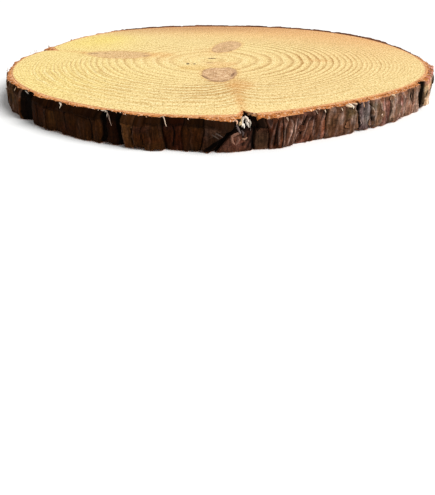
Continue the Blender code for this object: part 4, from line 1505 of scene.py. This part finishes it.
def torn_cork():
    """Torn cork and inner bark: soft, dry and matt, each bit with its own tone from the mesh."""
    matt = {"Roughness": 0.9, "Specular IOR Level": 0.04}
    finish, tree, shader = new_finish("torn inner bark", matt)
    place = add_node(tree, "TexCoord", output="Object")
    tone = add_node(tree, "Attribute", attribute_name="bit_tone")
    noise = add_node(tree, "TexNoise", {"Vector": place, "Scale": 1.0 / (1.0 * MM), "Detail": 3.0})
    factor = add_node(tree, "MapRange", {0: noise, 1: 0.30, 2: 0.70, 3: 0.75, 4: 1.20})
    colour = add_node(tree, "HueSaturation", {"Color": tone, "Value": factor})
    tree.links.new(colour, shader.inputs["Base Color"])
    return finish


outside = bark_probe()
cork_finish = torn_cork()
flake_finish = bark_ring.data.materials[0]
for piece in (build_slivers(cork_finish), build_crumbs(cork_finish), build_flakes(flake_finish)):
    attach(piece, "root")

# The floor: a plain level board under the slice, painted a matt near-white and wider than any view.
# It lies a hair lower than the slice, so that the two faces don't meet in one plane.
FLOOR_REACH = 6.0
FLOOR_DROP = 0.2 * MM


def build_floor():
    """A level square just under the slice, in a matt near-white finish."""
    finish = new_finish("matt white board", {
        "Base Color": (*linear("f6f6f5"), 1.0), "Roughness": 0.9, "Specular IOR Level": 0.1})[0]
    corners = np.array([[-1, -1, 0], [1, -1, 0], [1, 1, 0], [-1, 1, 0]]) * FLOOR_REACH
    corners[:, 2] = -FLOOR_DROP
    return add_mesh("floor", corners, [np.array([[0, 1, 2, 3]])], {}, (finish,))


build_floor()

# The light: a big soft lamp high on the right, which leaves the left of the bark in shade, and an
# even white room.
LAMP_BEARING = 333.0
LAMP_ELEVATION = 49.0
LAMP_SPREAD = 40.0
LAMP_STRENGTH = 3.5
LAMP_PLACE = (0.8, -0.4, 1.0)
ROOM_STRENGTH = 0.37
lamp_data = bpy.data.lights.new("lamp", "SUN")
lamp_data.angle = math.radians(LAMP_SPREAD)
lamp_data.energy = LAMP_STRENGTH
lamp = bpy.data.objects.new("lamp", lamp_data)
lamp.location = LAMP_PLACE
lamp.rotation_euler = (math.radians(90.0 - LAMP_ELEVATION), 0.0, math.radians(LAMP_BEARING + 90.0))
bpy.context.scene.collection.objects.link(lamp)
room = bpy.data.worlds.new("room")
room.use_nodes = True
background = room.node_tree.nodes["Background"]
background.inputs["Color"].default_value = (*linear("ffffff"), 1.0)
background.inputs["Strength"].default_value = ROOM_STRENGTH
bpy.context.scene.world = room
bpy.context.scene.view_settings.view_transform = "Standard"

# The camera: close above the front edge, looking down at the slice, which lies high in the frame.
CAMERA_BACK = 0.625
CAMERA_RISE = 0.1346
CAMERA_ASIDE = -0.0007
CAMERA_PITCH = 26.73
CAMERA_LENS = 52.0
SENSOR_WIDTH = 36.0
camera_data = bpy.data.cameras.new("camera")
camera_data.lens = CAMERA_LENS
camera_data.sensor_width = SENSOR_WIDTH
camera = bpy.data.objects.new("camera", camera_data)
camera.location = (LOG_AXIS[0] + CAMERA_ASIDE, LOG_AXIS[1] - CAMERA_BACK, THICKNESS + CAMERA_RISE)
camera.rotation_euler = (math.radians(90.0 - CAMERA_PITCH), 0.0, 0.0)
bpy.context.scene.collection.objects.link(camera)
bpy.context.scene.camera = camera
